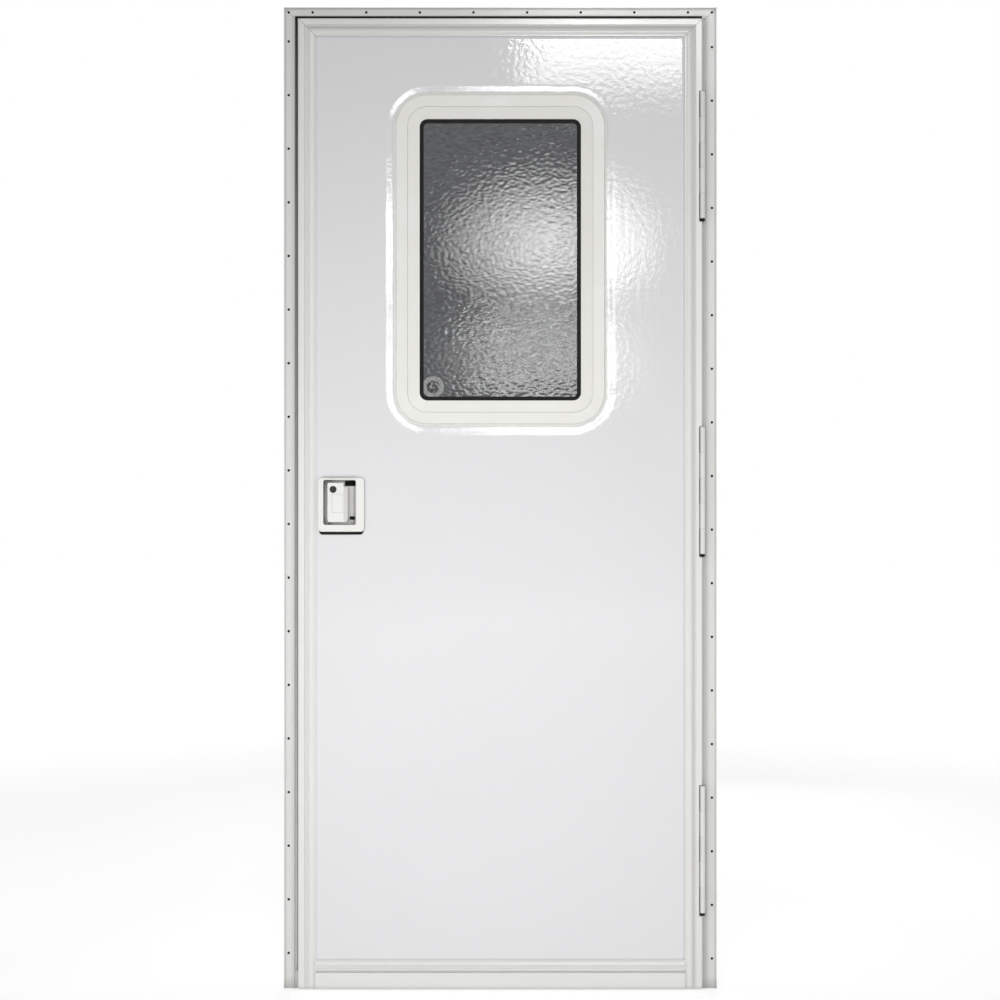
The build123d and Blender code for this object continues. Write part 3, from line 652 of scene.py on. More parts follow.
@dataclass(frozen=True)
class ObscureGlass(Finish):
    """Tinted obscure glass with one etched ring near a corner."""

    slot: str
    tint: Colour
    mark_x: float
    mark_z: float
    mark_outer: float = 0.0205
    mark_inner: float = 0.0120
    wander_size: float = 0.006
    wander_width: float = 0.0040
    hole: Colour = (0.004, 0.004, 0.004)
    hole_share: float = 0.92
    patch_size: float = 0.0075
    patch_range: Range = (0.40, 0.48)
    etched: Colour = (0.36, 0.365, 0.36)
    etched_gloss: float = 0.45
    frost_size: float = 0.0045
    frost_range: Range = (0.40, 0.56)
    frost_share: float = 0.6
    frost_least: float = 0.35
    tones: Range = (0.62, 1.30)
    streak_scale: Point = (1.0, 1.0, 2.6)
    streak_size: float = 0.011
    streak_range: Range = (0.30, 0.70)
    roughness: float = 0.035
    refraction: float = 1.5

    def surface(self, shader: Shader) -> Value:
        """Clear tinted glass, frosted in the etched ring and dark inside it.

        Args:
            shader: the material's tree.

        Returns:
            The surface.
        """
        place = shader.place()
        x, z = shader.along(place, "X"), shader.along(place, "Z")
        wander = shader.mottle(place, self.wander_size).swing(self.wander_width)
        reach = ((x - self.mark_x) ** 2.0 + (z - self.mark_z) ** 2.0) ** 0.5 + wander
        disc = reach < self.mark_outer
        patches = shader.ramp(shader.mottle(place, self.patch_size), self.patch_range)
        hole = (reach < self.mark_inner) * patches
        streaks = shader.mottle(shader.stretch(place, self.streak_scale), self.streak_size)
        glass = shader.mix(shader.ramp(streaks, self.streak_range), *shades(self.tint, self.tones))
        frost = shader.ramp(shader.mottle(place, self.frost_size, detail=3.0), self.frost_range)
        ringed = shader.mix(disc * (frost * self.frost_share + self.frost_least), glass, self.etched)
        return shader.principled({
            "Base Color": shader.mix(hole * self.hole_share, ringed, self.hole),
            "Roughness": self.roughness + (disc - hole) * self.etched_gloss,
            "Transmission Weight": 1.0,
            "IOR": self.refraction,
        })


@dataclass(frozen=True)
class FloorPaper(Finish):
    """Pale studio paper that shows white where no shadow falls on it."""

    slot: str = "floor_paper"
    colour: Colour = (0.78, 0.78, 0.78)
    fleck_size: float = 0.004
    fleck_tone: float = 1.02
    near_lift: float = 0.48
    far_lift: float = 0.76
    near_reach: float = 1.0
    far_reach: float = 4.0

    def surface(self, shader: Shader) -> Value:
        """Diffuse paper, lifted to white for the rays that show it, less so by the door.

        Args:
            shader: the material's tree.

        Returns:
            The surface.
        """
        place = shader.place()
        reach = (shader.along(place, "X") ** 2.0 + shader.along(place, "Y") ** 2.0) ** 0.5
        far = shader.ramp((reach - self.near_reach) * (1 / (self.far_reach - self.near_reach)), (0.0, 1.0))
        flecks = shader.mottle(place, self.fleck_size)
        tone = shader.mix(flecks, self.colour, shade(self.colour, self.fleck_tone))
        paper = shader.node("ShaderNodeBsdfDiffuse", values={"Color": tone})
        lifted = []
        for lift in (self.near_lift, self.far_lift):
            glow = shader.node("ShaderNodeEmission", values={"Strength": lift})
            lifted.append(shader.node("ShaderNodeAddShader", values={0: paper, 1: glow}))
        white = shader.node("ShaderNodeMixShader", values={0: far, 1: lifted[0], 2: lifted[1]})
        return shader.node("ShaderNodeMixShader", values={0: shader.seen(), 1: paper, 2: white})


@dataclass(frozen=True)
class RoundedBox:
    """A rounded rectangle in the door's face, in metres."""

    x: float
    z: float
    half_width: float
    half_height: float
    radius: float

    @classmethod
    def around(cls, node: str, radius: float) -> "RoundedBox":
        """The outline of a CAD node seen from the front, with corners of this radius."""
        low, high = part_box(node)
        return cls(*((low + high) / 2).xz, *((high - low) / 2).xz, radius)

    def distance(self, x: float, z: float) -> float:
        """Measures from a point to the outline.

        Args:
            x: the point's place across the door.
            z: its place up the door.

        Returns:
            How far it lies outside the outline, negative inside.
        """
        over_x = abs(x - self.x) - self.half_width + self.radius
        over_z = abs(z - self.z) - self.half_height + self.radius
        corner = math.hypot(max(over_x, 0.0), max(over_z, 0.0))
        return corner + min(max(over_x, over_z), 0.0) - self.radius

    def pull_in(self, x: float, z: float) -> Range:
        """Moves a point that lies outside a rounded corner onto it.

        Args:
            x: the point's place across the door.
            z: its place up the door.

        Returns:
            The nearest place across and up that isn't outside.
        """
        inner_width, inner_height = self.half_width - self.radius, self.half_height - self.radius
        core_x = min(max(x, self.x - inner_width), self.x + inner_width)
        core_z = min(max(z, self.z - inner_height), self.z + inner_height)
        reach = math.hypot(x - core_x, z - core_z)
        scale = min(1.0, self.radius / reach) if reach > 0 else 1.0
        return core_x + (x - core_x) * scale, core_z + (z - core_z) * scale


@dataclass(frozen=True)
class Piece:
    """A new mesh piece, and what it rides on, is made of and stands for."""

    name: str
    body: str
    finish: Finish
    stands_for: tuple[str, ...] = ()

    def add(self, mesh: bpy.types.Mesh, flat_from: int | None = None) -> bpy.types.Object:
        """Puts a mesh in the scene as this piece.

        Args:
            mesh: the mesh, in the door's own frame.
            flat_from: the first face that shades flat, where not all of them shade smoothly.

        Returns:
            The new object.
        """
        mesh.name = self.name
        mesh.materials.append(self.finish.material())
        smooth_count = len(mesh.polygons) if flat_from is None else flat_from
        mesh.polygons.foreach_set("use_smooth", [i < smooth_count for i in range(len(mesh.polygons))])
        made = bpy.data.objects.new(self.name, mesh)
        bpy.context.scene.collection.objects.link(made)
        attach(made, self.body)
        if self.stands_for:
            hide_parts(*self.stands_for)
        log.info("piece %s on %s: %d faces", self.name, self.body, len(mesh.polygons))
        return made


def mesh_of(verts: Sequence[Sequence[float]], faces: Sequence[Sequence[int]]) -> bpy.types.Mesh:
    """Makes a mesh.

    Args:
        verts: its points.
        faces: the points of each face, by number.

    Returns:
        The mesh, not named yet.
    """
    mesh = bpy.data.meshes.new("unnamed")
    mesh.from_pydata(verts, [], faces)
    return mesh


def bands(rows: Sequence[Sequence[Any]], closed: bool = False) -> list[list[Any]]:
    """Joins rows of points by four-sided faces.

    Args:
        rows: the points of each row, as many in one as in the next.
        closed: whether the last point of a row meets the first.

    Returns:
        The points of each face.
    """
    count = len(rows[0])
    faces = []
    for lower, upper in zip(rows, rows[1:]):
        for i in range(count if closed else count - 1):
            j = (i + 1) % count
            faces.append([lower[i], lower[j], upper[j], upper[i]])
    return faces


def dress(nodes: Iterable[str], finish: Finish) -> None:
    """Gives CAD nodes a finish.

    Args:
        nodes: the nodes' names.
        finish: what they are finished with.
    """
    for name in nodes:
        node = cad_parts[name]
        node.data.materials.clear()
        node.data.materials.append(finish.material())
        log.info("node %s: %s", name, finish.label)


def spaced(low: float, high: float, step: float, slack: float = 1e-6) -> list[float]:
    """Even places from low up to, but not at, high, no further apart than step but for some slack."""
    count = max(1, math.ceil((high - low) / step - slack))
    return [low + (high - low) * i / count for i in range(count)]


class Layer(Enum):
    """Planes of the relief noise, one for each relief, so that none follows another."""

    DISH_EDGE = 0.0
    FINE_RIPPLE = 2.0
    SWELL = 3.0
    RIPPLE_LEAN = 5.0
    BROAD_RIPPLE = 7.0


def relief(layer: Layer, x: float, z: float) -> float:
    """Smooth noise between -1 and 1 over the door's face."""
    return noise.noise(Vector((x, layer.value, z)))


class HeadShape(Enum):
    """The kinds of fastener heads: radius, height and edge roundness in metres."""

    PAN = (0.0034, 0.0021, 0.0011)
    FLAT = (0.0030, 0.0004, 0.0002)
    RIVET = (0.0032, 0.0014, 0.0013)
    CAP = (0.0046, 0.0054, 0.0020)


@dataclass(frozen=True)
class Heads:
    """A row of fastener heads of one kind."""

    shape: HeadShape
    turns: int = 24
    spin: float = 0.7
    round_steps: int = 4
    recess_reach: float = 0.0017
    recess_half_width: float = 0.00042
    recess_depth: float = 0.0009
    recess_taper: float = 0.8

    def mesh(self, seats: Seats) -> bpy.types.Mesh:
        """Makes one mesh with a head on every seat.

        Args:
            seats: each head's seat point and the direction that it faces.

        Returns:
            The mesh, not named yet.
        """
        build = bmesh.new()
        for turn, (seat, facing) in enumerate(seats):
            aim = facing.to_track_quat("Z", "Y").to_matrix().to_4x4()
            spin = Matrix.Rotation(self.spin * turn, 4, "Z")
            self._add_head(build, Matrix.Translation(seat) @ aim @ spin)
        bmesh.ops.recalc_face_normals(build, faces=build.faces)
        mesh = bpy.data.meshes.new("unnamed")
        build.to_mesh(mesh)
        build.free()
        return mesh

    def _add_head(self, build: bmesh.types.BMesh, place: Matrix) -> None:
        """Turns the rounded side of one head, then closes its top.

        Args:
            build: the mesh under construction.
            place: where the head sits.
        """
        radius, height, rounding = self.shape.value
        section = [(radius, 0.0)]
        for step in range(self.round_steps + 1):
            angle = math.pi / 2 * step / self.round_steps
            inward, down = rounding * (1 - math.cos(angle)), rounding * (1 - math.sin(angle))
            section.append((radius - inward, height - down))
        rings = [self._ring(build, place, r, z) for r, z in section]
        for face in bands(rings, closed=True):
            build.faces.new(face)
        if self.shape in (HeadShape.RIVET, HeadShape.CAP):
            build.faces.new(rings[-1])
        else:
            self._add_recess(build, place, rings[-1], height)

    def _ring(self, build: bmesh.types.BMesh, place: Matrix, r: float, z: float) -> list[bmesh.types.BMVert]:
        """New points round a head at this radius and height."""
        angles = [2 * math.pi * i / self.turns for i in range(self.turns)]
        return [build.verts.new(place @ Vector((r * math.cos(a), r * math.sin(a), z))) for a in angles]

    def _add_recess(
        self, build: bmesh.types.BMesh, place: Matrix, rim: list[bmesh.types.BMVert], height: float
    ) -> None:
        """Closes a head's top round a cross recess.

        Args:
            build: the mesh under construction.
            place: where the head sits.
            rim: the points round its top.
            height: how high its top is.
        """
        reach, half = self.recess_reach, self.recess_half_width
        arm = [(reach, -half), (reach, half), (half, half)]
        quarters = ((1, 0), (0, 1), (-1, 0), (0, -1))
        outline = [(c * x - s * y, s * x + c * y) for c, s in quarters for x, y in arm]
        taper, bottom = self.recess_taper, height - self.recess_depth
        top = [build.verts.new(place @ Vector((x, y, height))) for x, y in outline]
        floor = [build.verts.new(place @ Vector((taper * x, taper * y, bottom))) for x, y in outline]
        count = len(outline)
        edges = [build.edges.new((top[i], top[(i + 1) % count])) for i in range(count)]
        edges += [build.edges.get((rim[i], rim[(i + 1) % self.turns])) for i in range(self.turns)]
        bmesh.ops.triangle_fill(build, edges=edges, use_beauty=True)
        for face in [*bands([top, floor], closed=True), floor]:
            build.faces.new(face)


@dataclass(frozen=True)
class Strip:
    """A long thin strip with one section: pairs of across and out, in metres."""

    section: tuple[Range, ...]
    wander: float = 0.0
    wander_rate: float = 31.0
    step: float = 0.02

    def mesh(self, start: Vector, end: Vector, out: Vector) -> bpy.types.Mesh:
        """Draws the section along a line.

        Args:
            start: where the line starts.
            end: where it ends.
            out: the direction in which the strip is thick.

        Returns:
            The closed mesh, not named yet.
        """
        along = (end - start).normalized()
        across = out.cross(along)
        length, count = (end - start).length, len(self.section)
        verts: list[Vector] = []
        for reach in [*spaced(0.0, length, self.step), length]:
            shift = self.wander * noise.noise(Vector((reach * self.wander_rate, start.x, start.z)))
            for side, rise in self.section:
                verts.append(start + along * reach + across * (side + shift) + out * rise)
        rows = [range(first, first + count) for first in range(0, len(verts), count)]
        return mesh_of(verts, [*bands(rows, closed=True), rows[0][::-1], rows[-1]])


def plate_seats(plate: str, facing: Vector, inset: float) -> Seats:
    """Finds the seats for a screw near each end of an upright plate on a door's edge.

    Args:
        plate: the plate's node.
        facing: the direction that its open face looks.
        inset: how far the screws lie from its ends.

    Returns:
        A seat point and a direction for each screw.
    """
    low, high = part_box(plate)
    face_x = high.x if facing.x > 0 else low.x
    return [(Vector((face_x, (low.y + high.y) / 2, z)), facing) for z in (low.z + inset, high.z - inset)]


FRAME_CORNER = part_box("head_jamb")[1]
LEAF_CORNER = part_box("top_rail")[1]
FRAME_WHITE: Colour = (0.80, 0.80, 0.78)
LEAF_WHITE: Colour = (0.83, 0.825, 0.80)
FRAME_MITRE = FRAME_CORNER.z - FRAME_CORNER.x
LEAF_MITRE = LEAF_CORNER.z - LEAF_CORNER.x


class Finishes:
    """The door's finishes. Some share a material slot of the record."""

    # The uprights take wider painted shade from the leaf's lip beside them than the head and threshold.
    frame_upright = ExtrusionPaint(
        "frame_paint", FRAME_WHITE, Grain.UPRIGHT, FRAME_MITRE, grime_reach=0.025, grime_share=0.8
    )
    frame_level = ExtrusionPaint("frame_paint", FRAME_WHITE, Grain.LEVEL, FRAME_MITRE, grime_reach=0.010)
    # The three leaf paints differ only in the painted shade in their grooves: least on the lock side, more on
    # the hinge side, most on the rails.
    lock_stile = GroovedPaint(
        "leaf_paint", LEAF_WHITE, Grain.UPRIGHT, LEAF_MITRE, edge=LEAF_CORNER.x, groove_dirt=0.17
    )
    hinge_stile = GroovedPaint(
        "leaf_paint", LEAF_WHITE, Grain.UPRIGHT, LEAF_MITRE, edge=LEAF_CORNER.x, groove_dirt=0.40
    )
    rail = GroovedPaint(
        "leaf_paint", LEAF_WHITE, Grain.LEVEL, LEAF_MITRE, edge=LEAF_CORNER.z, groove_dirt=0.52
    )
    gel_coat = GelCoat("gel_coat", (0.81, 0.805, 0.82))
    lining = Lining("inner_sheet", (0.80, 0.79, 0.75))
    foam = FoamCore("foam_core", (0.80, 0.74, 0.58))
    window_trim = Moulding("window_trim", (0.87, 0.87, 0.845), 0.34)
    # The lock's plastic takes darker and wider painted shade, so that its pocket reads dark.
    lock_plastic = Moulding(
        "lock_plastic",
        (0.86, 0.86, 0.85),
        0.26,
        grime=(0.10, 0.098, 0.09),
        grime_reach=0.016,
        grime_range=(0.12, 0.75),
        grime_curve=1.0,
        grime_share=0.95,
    )
    rubber = Rubber("black_rubber")
    dusty_rubber = DustyRubber("black_rubber")
    steel = PlatedMetal("plated_steel", Plating.BRIGHT)
    dull_steel = PlatedMetal("plated_steel", Plating.DULL)
    blackened_steel = PlatedMetal("plated_steel", Plating.BLACKENED)
    key_metal = PlatedMetal("key_metal", Plating.DARK, brush=Grain.LEVEL)


@dataclass(frozen=True)
class DoorFrame:
    """The fixed frame with its seal, strike plate, a rubber wiper that partly stands in for the shade beside
    the leaf, and dark tape that stands in for the shade seen through the screw holes.
    """

    body: str = "frame"
    strike_screw_inset: float = 0.0055
    hole_inset: float = 0.009
    flange_thickness: float = 0.002
    tape_half_width: float = 0.006
    tape_thickness: float = 0.0008
    tape_taper: float = 0.9
    tape_wander: float = 0.0006
    wiper_gap: float = 0.0043
    wiper_half_width: float = 0.0024
    wiper_height: float = 0.0024
    wiper_steps: int = 8

    def build(self) -> None:
        """Dresses the frame, screws the strike plate on, lays dark tape behind the flange as painted shade
        for the holes, and lays the wiper, partly painted shade.
        """
        dress(["left_jamb", "right_jamb"], Finishes.frame_upright)
        dress(["head_jamb", "threshold"], Finishes.frame_level)
        dress(["weather_seal"], Finishes.rubber)
        dress(["strike_plate"], Finishes.steel)
        seats = plate_seats("strike_plate", RIGHTWARD, self.strike_screw_inset)
        Piece("strike_screws", self.body, Finishes.steel).add(Heads(HeadShape.FLAT).mesh(seats))
        self._tape()
        self._wiper()

    def _tape(self) -> None:
        """Lays dark tape on the back of the side and head flanges, over their screw holes, so that the holes
        show painted shade.
        """
        half, depth = self.tape_half_width, self.tape_thickness
        narrow = half * self.tape_taper
        strip = Strip(((-half, 0.0), (half, 0.0), (narrow, depth), (-narrow, depth)), self.tape_wander)
        low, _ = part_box("left_jamb")
        _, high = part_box("right_jamb")
        left, right, top = low.x + self.hole_inset, high.x - self.hole_inset, high.z - self.hole_inset
        runs = {
            "left": (Vector((left, 0.0, low.z)), Vector((left, 0.0, top - half))),
            "right": (Vector((right, 0.0, low.z)), Vector((right, 0.0, top - half))),
            "head": (Vector((left - half, 0.0, top)), Vector((right + half, 0.0, top))),
        }
        for side, (start, end) in runs.items():
            # Dark strip behind the holes: painted shade for what shows through them.
            tape = strip.mesh(start, end, INWARD)
            Piece(f"flange_tape_{side}", self.body, Finishes.rubber).add(tape, flat_from=0)

    def _wiper(self) -> None:
        """Lays a thin dark rubber wiper on the flange, round the leaf's head and lock side, partly standing
        in for the shade in the gap beside the leaf's lip.
        """
        half, height, steps = self.wiper_half_width, self.wiper_height, self.wiper_steps
        angles = [math.pi * i / steps for i in range(steps + 1)]
        strip = Strip(tuple((half * math.cos(a), height * math.sin(a)) for a in angles))
        lip_low, lip_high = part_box("top_rail")
        front, sill = -self.flange_thickness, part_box("threshold")[1].z
        corner = Vector((lip_low.x - self.wiper_gap, front, lip_high.z + self.wiper_gap))
        head = strip.mesh(corner - Vector((half, 0.0, 0.0)), Vector((lip_high.x, front, corner.z)), OUTWARD)
        side = strip.mesh(Vector((corner.x, front, sill)), corner - Vector((0.0, 0.0, half)), OUTWARD)
        # Dark strips along the gap beside the lip: a rubber wiper that is partly painted shade; the lock
        # side's paleness is dust and painted light.
        Piece("wiper_head", self.body, Finishes.rubber).add(head)
        Piece("wiper_lock_side", self.body, Finishes.dusty_rubber).add(side)


@dataclass(frozen=True)
class Leaf:
    """The leaf's edge bars, lining, core and dished outer skin."""

    body: str = "leaf"
    ring_radius: float = 0.0635
    ring_bearing: float = 0.010
    lock_cut_margin: float = 0.0035
    skin_thickness: float = 0.0006
    coarse: float = 0.009
    fine: float = 0.003
    fine_reach: float = 0.024
    dish_depth: float = 0.00068
    dish_lean: float = 0.2
    dish_ease: float = 0.1
    dish_start: float = 0.0145
    dish_end: float = 0.0030
    dish_wobble: float = 0.14
    wobble_rate: float = 23.0
    swell_height: float = 0.00006
    swell_rates: Range = (12.0, 10.0)
    sill_wave_height: float = 0.00005
    sill_wave_length: float = 0.010
    sill_wave_fade: float = 0.016

    def build(self) -> None:
        """Dresses the leaf's nodes and lays the outer skin."""
        dress(["left_stile"], Finishes.lock_stile)
        dress(["right_stile"], Finishes.hinge_stile)
        dress(["top_rail", "bottom_rail"], Finishes.rail)
        dress(["inner_skin"], Finishes.lining)
        dress([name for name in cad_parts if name.startswith("core_")], Finishes.foam)
        dress(["outer_skin"], Finishes.gel_coat)
        skin = Piece("dished_skin", self.body, Finishes.gel_coat, ("outer_skin",)).add(self._skin_mesh())
        backing = skin.modifiers.new("thickness", "SOLIDIFY")
        backing.thickness = self.skin_thickness
        backing.offset = -1.0

    def _skin_mesh(self) -> bpy.types.Mesh:
        """Lays out the skin's front as a grid, open under the window ring and behind the lock.

        Returns:
            The mesh, not named yet.
        """
        ring = RoundedBox.around("window_outer_ring", self.ring_radius)
        low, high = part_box("outer_skin")
        case_low, case_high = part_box("lock_case")
        margin = self.lock_cut_margin
        cut_x = (case_low.x - margin, case_high.x + margin)
        cut_z = (case_low.z - margin, case_high.z + margin)
        xs = self._lines([low.x, high.x, *cut_x], ring.x, ring.half_width)
        zs = self._lines([low.z, high.z, *cut_z], ring.z, ring.half_height)
        points: dict[tuple[int, int], int] = {}
        verts: list[Point] = []
        faces: list[list[int]] = []
        for i, (left, right) in enumerate(zip(xs, xs[1:])):
            for j, (bottom, top) in enumerate(zip(zs, zs[1:])):
                across, up = (left + right) / 2, (bottom + top) / 2
                in_lock = cut_x[0] < across < cut_x[1] and cut_z[0] < up < cut_z[1]
                if in_lock or ring.distance(across, up) < -self.ring_bearing:
                    continue
                face = []
                for key in ((i, j), (i + 1, j), (i + 1, j + 1), (i, j + 1)):
                    if key not in points:
                        points[key] = len(verts)
                        x, z = xs[key[0]], zs[key[1]]
                        verts.append((x, low.y + self._sink(ring, x, z), z))
                    face.append(points[key])
                faces.append(face)
        return mesh_of(verts, faces)

    def _lines(self, breaks: Iterable[float], middle: float, half: float) -> list[float]:
        """Places the skin's grid lines, closer together across the window ring's edges and corners.

        Args:
            breaks: places where a line has to lie, the skin's two ends among them.
            middle: the ring's middle.
            half: half the ring's width or height.

        Returns:
            The lines' places, in order.
        """
        inner, outer = half - self.ring_radius, half + self.fine_reach
        bands = [(middle - outer, middle - inner), (middle + inner, middle + outer)]
        stops = sorted({*breaks, *(end for band in bands for end in band)})
        lines: list[float] = []
        for low, high in zip(stops, stops[1:]):
            in_band = any(start <= (low + high) / 2 <= end for start, end in bands)
            lines += spaced(low, high, self.fine if in_band else self.coarse)
        return [*lines, stops[-1]]

    def _sink(self, ring: RoundedBox, x: float, z: float) -> float:
        """Works out how far the skin lies behind its flat plane.

        Args:
            ring: the window ring's outline, which clamps the skin.
            x: the place across the leaf.
            z: the place up the leaf.

        Returns:
            The depth in metres, never below zero by more than the swells and the waves.
        """
        gap = max(ring.distance(x, z), 0.0)
        wobble = relief(Layer.DISH_EDGE, x * self.wobble_rate, z * self.wobble_rate)
        start = self.dish_start * (1 + self.dish_wobble * wobble)
        down = min(max((start - gap) / (start - self.dish_end), 0.0), 1.0)
        eased = down * down * (3 - 2 * down)
        depth = self.dish_depth * (1 - self.dish_lean * (x - ring.x) / ring.half_width)
        dish = depth * ((1 - self.dish_ease) * down + self.dish_ease * eased)
        swell = self.swell_height * relief(Layer.SWELL, x * self.swell_rates[0], z * self.swell_rates[1])
        below = max(0.0, ring.z - ring.half_height - z)
        under_ring = below > 0 and abs(x - ring.x) < ring.half_width
        fade = math.exp(-below / self.sill_wave_fade) if under_ring else 0.0
        wave = self.sill_wave_height * fade * math.sin(2 * math.pi * below / self.sill_wave_length)
        return dish + swell + wave


@dataclass(frozen=True)
class Window:
    """The window: rippled pane, rings, gasket and the inner ring's screws."""

    body: str = "leaf"
    tint: Colour = (0.075, 0.078, 0.082)
    mark_inset_x: float = 0.0355
    mark_inset_z: float = 0.0360
    pane_radius: float = 0.025
    step_x: float = 0.0024
    step_z: float = 0.0015
    ripple_height: float = 0.00006
    ripple_width: float = 0.0068
    ripple_rise: float = 0.0053
    ripple_lean: float = 0.012
    lean_rate: float = 26.0
    fine_rate: float = 1.9
    fine_share: float = 0.45
    screw_inset: float = 0.012
    screws_across: int = 3
    screws_up: int = 4

    def build(self) -> None:
        """Dresses the rings and the gasket, and makes the pane and the screws."""
        dress(["window_outer_ring", "window_inner_ring"], Finishes.window_trim)
        dress(["window_gasket"], Finishes.rubber)
        low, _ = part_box("window_glass")
        mark_x, mark_z = low.x + self.mark_inset_x, low.z + self.mark_inset_z
        glass = ObscureGlass("obscure_glass", self.tint, mark_x, mark_z)
        dress(["window_glass"], glass)
        pane, front_faces = self._pane_mesh()
        Piece("rippled_pane", self.body, glass, ("window_glass",)).add(pane, flat_from=front_faces)
        screws = Heads(HeadShape.PAN).mesh(self._seats())
        Piece("window_ring_screws", self.body, Finishes.steel).add(screws)

    def _pane_mesh(self) -> tuple[bpy.types.Mesh, int]:
        """Makes a closed pane: rippled front, cut edge and flat back.

        Returns:
            The mesh, not named yet, and how many of its faces, the first ones, are the front.
        """
        low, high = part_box("window_glass")
        outline = RoundedBox.around("window_glass", self.pane_radius)
        xs = [*spaced(low.x, high.x, self.step_x), high.x]
        zs = [*spaced(low.z, high.z, self.step_z), high.z]
        wide, tall = len(xs), len(zs)
        verts = []
        for z_line in zs:
            for x_line in xs:
                x, z = outline.pull_in(x_line, z_line)
                verts.append((x, low.y + self._ripple(x, z), z))
        front = bands([range(first, first + wide) for first in range(0, len(verts), wide)])
        rim = [*range(wide), *range(2 * wide - 1, tall * wide, wide)]
        rim += [*range(tall * wide - 2, (tall - 1) * wide - 1, -1), *range((tall - 2) * wide, 0, -wide)]
        back = [len(verts) + k for k in range(len(rim))]
        verts += [(verts[k][0], high.y, verts[k][2]) for k in rim]
        return mesh_of(verts, [*front, *bands([back, rim], closed=True), back[::-1]]), len(front)

    def _ripple(self, x: float, z: float) -> float:
        """Works out how far the rolled relief lies behind the pane's front plane.

        Args:
            x: the place across the pane.
            z: the place up the pane.

        Returns:
            The depth in metres, never below zero.
        """
        lean = self.ripple_lean * relief(Layer.RIPPLE_LEAN, x * self.lean_rate, z * self.lean_rate)
        across, up = x / self.ripple_width, (z + lean) / self.ripple_rise
        broad = relief(Layer.BROAD_RIPPLE, across, up)
        fine = relief(Layer.FINE_RIPPLE, across * self.fine_rate, up * self.fine_rate)
        return self.ripple_height * (1 + self.fine_share + broad + self.fine_share * fine)

    def _seats(self) -> Seats:
        """Finds screw seats round the inner ring's face, evenly along each side.

        Returns:
            A seat point and a direction for each screw.
        """
        low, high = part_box("window_inner_ring")
        inset = self.screw_inset
        left, right = low.x + inset, high.x - inset
        bottom, top = low.z + inset, high.z - inset
        pitch_x, pitch_z = (right - left) / (self.screws_across + 1), (top - bottom) / (self.screws_up + 1)
        across = [left + pitch_x * (i + 1) for i in range(self.screws_across)]
        up = [bottom + pitch_z * (i + 1) for i in range(self.screws_up)]
        places = [(x, z) for x in across for z in (bottom, top)] + [(x, z) for z in up for x in (left, right)]
        return [(Vector((x, high.y, z)), INWARD) for x, z in places]


@dataclass(frozen=True)
class Lock:
    """The flush paddle lock: bezel, paddle, key cylinder, bolts and the inside plate."""

    body: str = "leaf"
    face_screw_inset: float = 0.0055
    plate_screw_inset: float = 0.009

    def build(self) -> None:
        """Dresses the lock's nodes and puts its screws in."""
        plastic = ["lock_bezel", "paddle", "lock_inner_plate", "release_lever", "thumb_turn"]
        dress(plastic, Finishes.lock_plastic)
        dress(["lock_gasket"], Finishes.rubber)
        dress(["latch_bolt", "dead_bolt", "lock_faceplate"], Finishes.steel)
        dress(["paddle_pivots"], Finishes.dull_steel)
        dress(["lock_case"], Finishes.blackened_steel)
        dress(["key_cylinder"], Finishes.key_metal)
        seats = plate_seats("lock_faceplate", LEFTWARD, self.face_screw_inset)
        Piece("faceplate_screws", self.body, Finishes.steel).add(Heads(HeadShape.FLAT).mesh(seats))
        low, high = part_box("lock_inner_plate")
        inset = self.plate_screw_inset
        corners = [(low.x + inset, high.z - inset), (high.x - inset, low.z + inset)]
        seats = [(Vector((x, high.y, z)), INWARD) for x, z in corners]
        Piece("inner_plate_screws", self.body, Finishes.steel).add(Heads(HeadShape.PAN).mesh(seats))


@dataclass(frozen=True)
class Hinges:
    """The three edge hinges with the rivets of their door leaves, and black caps on their pins' ends that
    stand in for the shade at each knuckle's lower end.
    """

    places: tuple[str, ...] = ("lower", "middle", "upper")
    plate_thickness: float = 0.0016
    rivets: int = 5
    rivet_inset: float = 0.010

    def build(self) -> None:
        """Dresses each hinge, rivets its door leaf to the stile's edge and puts a black cap, painted shade
        for the knuckle's end, on its pin.
        """
        for place in self.places:
            dress([f"hinge_frame_leaf_{place}"], Finishes.frame_upright)
            dress([f"hinge_door_leaf_{place}"], Finishes.lock_stile)
            dress([f"hinge_pin_{place}"], Finishes.steel)
            rivets = Heads(HeadShape.RIVET).mesh(self._seats(place))
            Piece(f"hinge_rivets_{place}", "leaf", Finishes.lock_stile).add(rivets)
            low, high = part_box(f"hinge_pin_{place}")
            pin_end = Vector(((low.x + high.x) / 2, (low.y + high.y) / 2, low.z))
            # Black cap at the pin's lower end: painted shade for the dark end of the knuckle.
            cap = Heads(HeadShape.CAP).mesh([(pin_end, DOWNWARD)])
            Piece(f"hinge_cap_{place}", "frame", Finishes.rubber).add(cap)

    def _seats(self, place: str) -> Seats:
        """Finds rivet seats up a hinge's plate on the stile's edge.

        Args:
            place: which hinge it is.

        Returns:
            A seat point and a direction for each rivet.
        """
        low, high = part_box(f"hinge_door_leaf_{place}")
        x, y = low.x + self.plate_thickness, high.y - self.rivet_inset
        pitch = (high.z - low.z) / self.rivets
        return [(Vector((x, y, low.z + pitch * (i + 0.5))), RIGHTWARD) for i in range(self.rivets)]


class LampShape(Enum):
    """Kinds of soft lamps: outline, how many panels grade it, and whether reflections show it.

    A graded lamp is brightest in its middle, a faded one toward its upper right corner.
    """

    PLAIN = ("RECTANGLE", 1, True)
    GRADED = ("ELLIPSE", 7, True)
    FADED = ("RECTANGLE", 7, True)
    UNSEEN = ("RECTANGLE", 1, False)


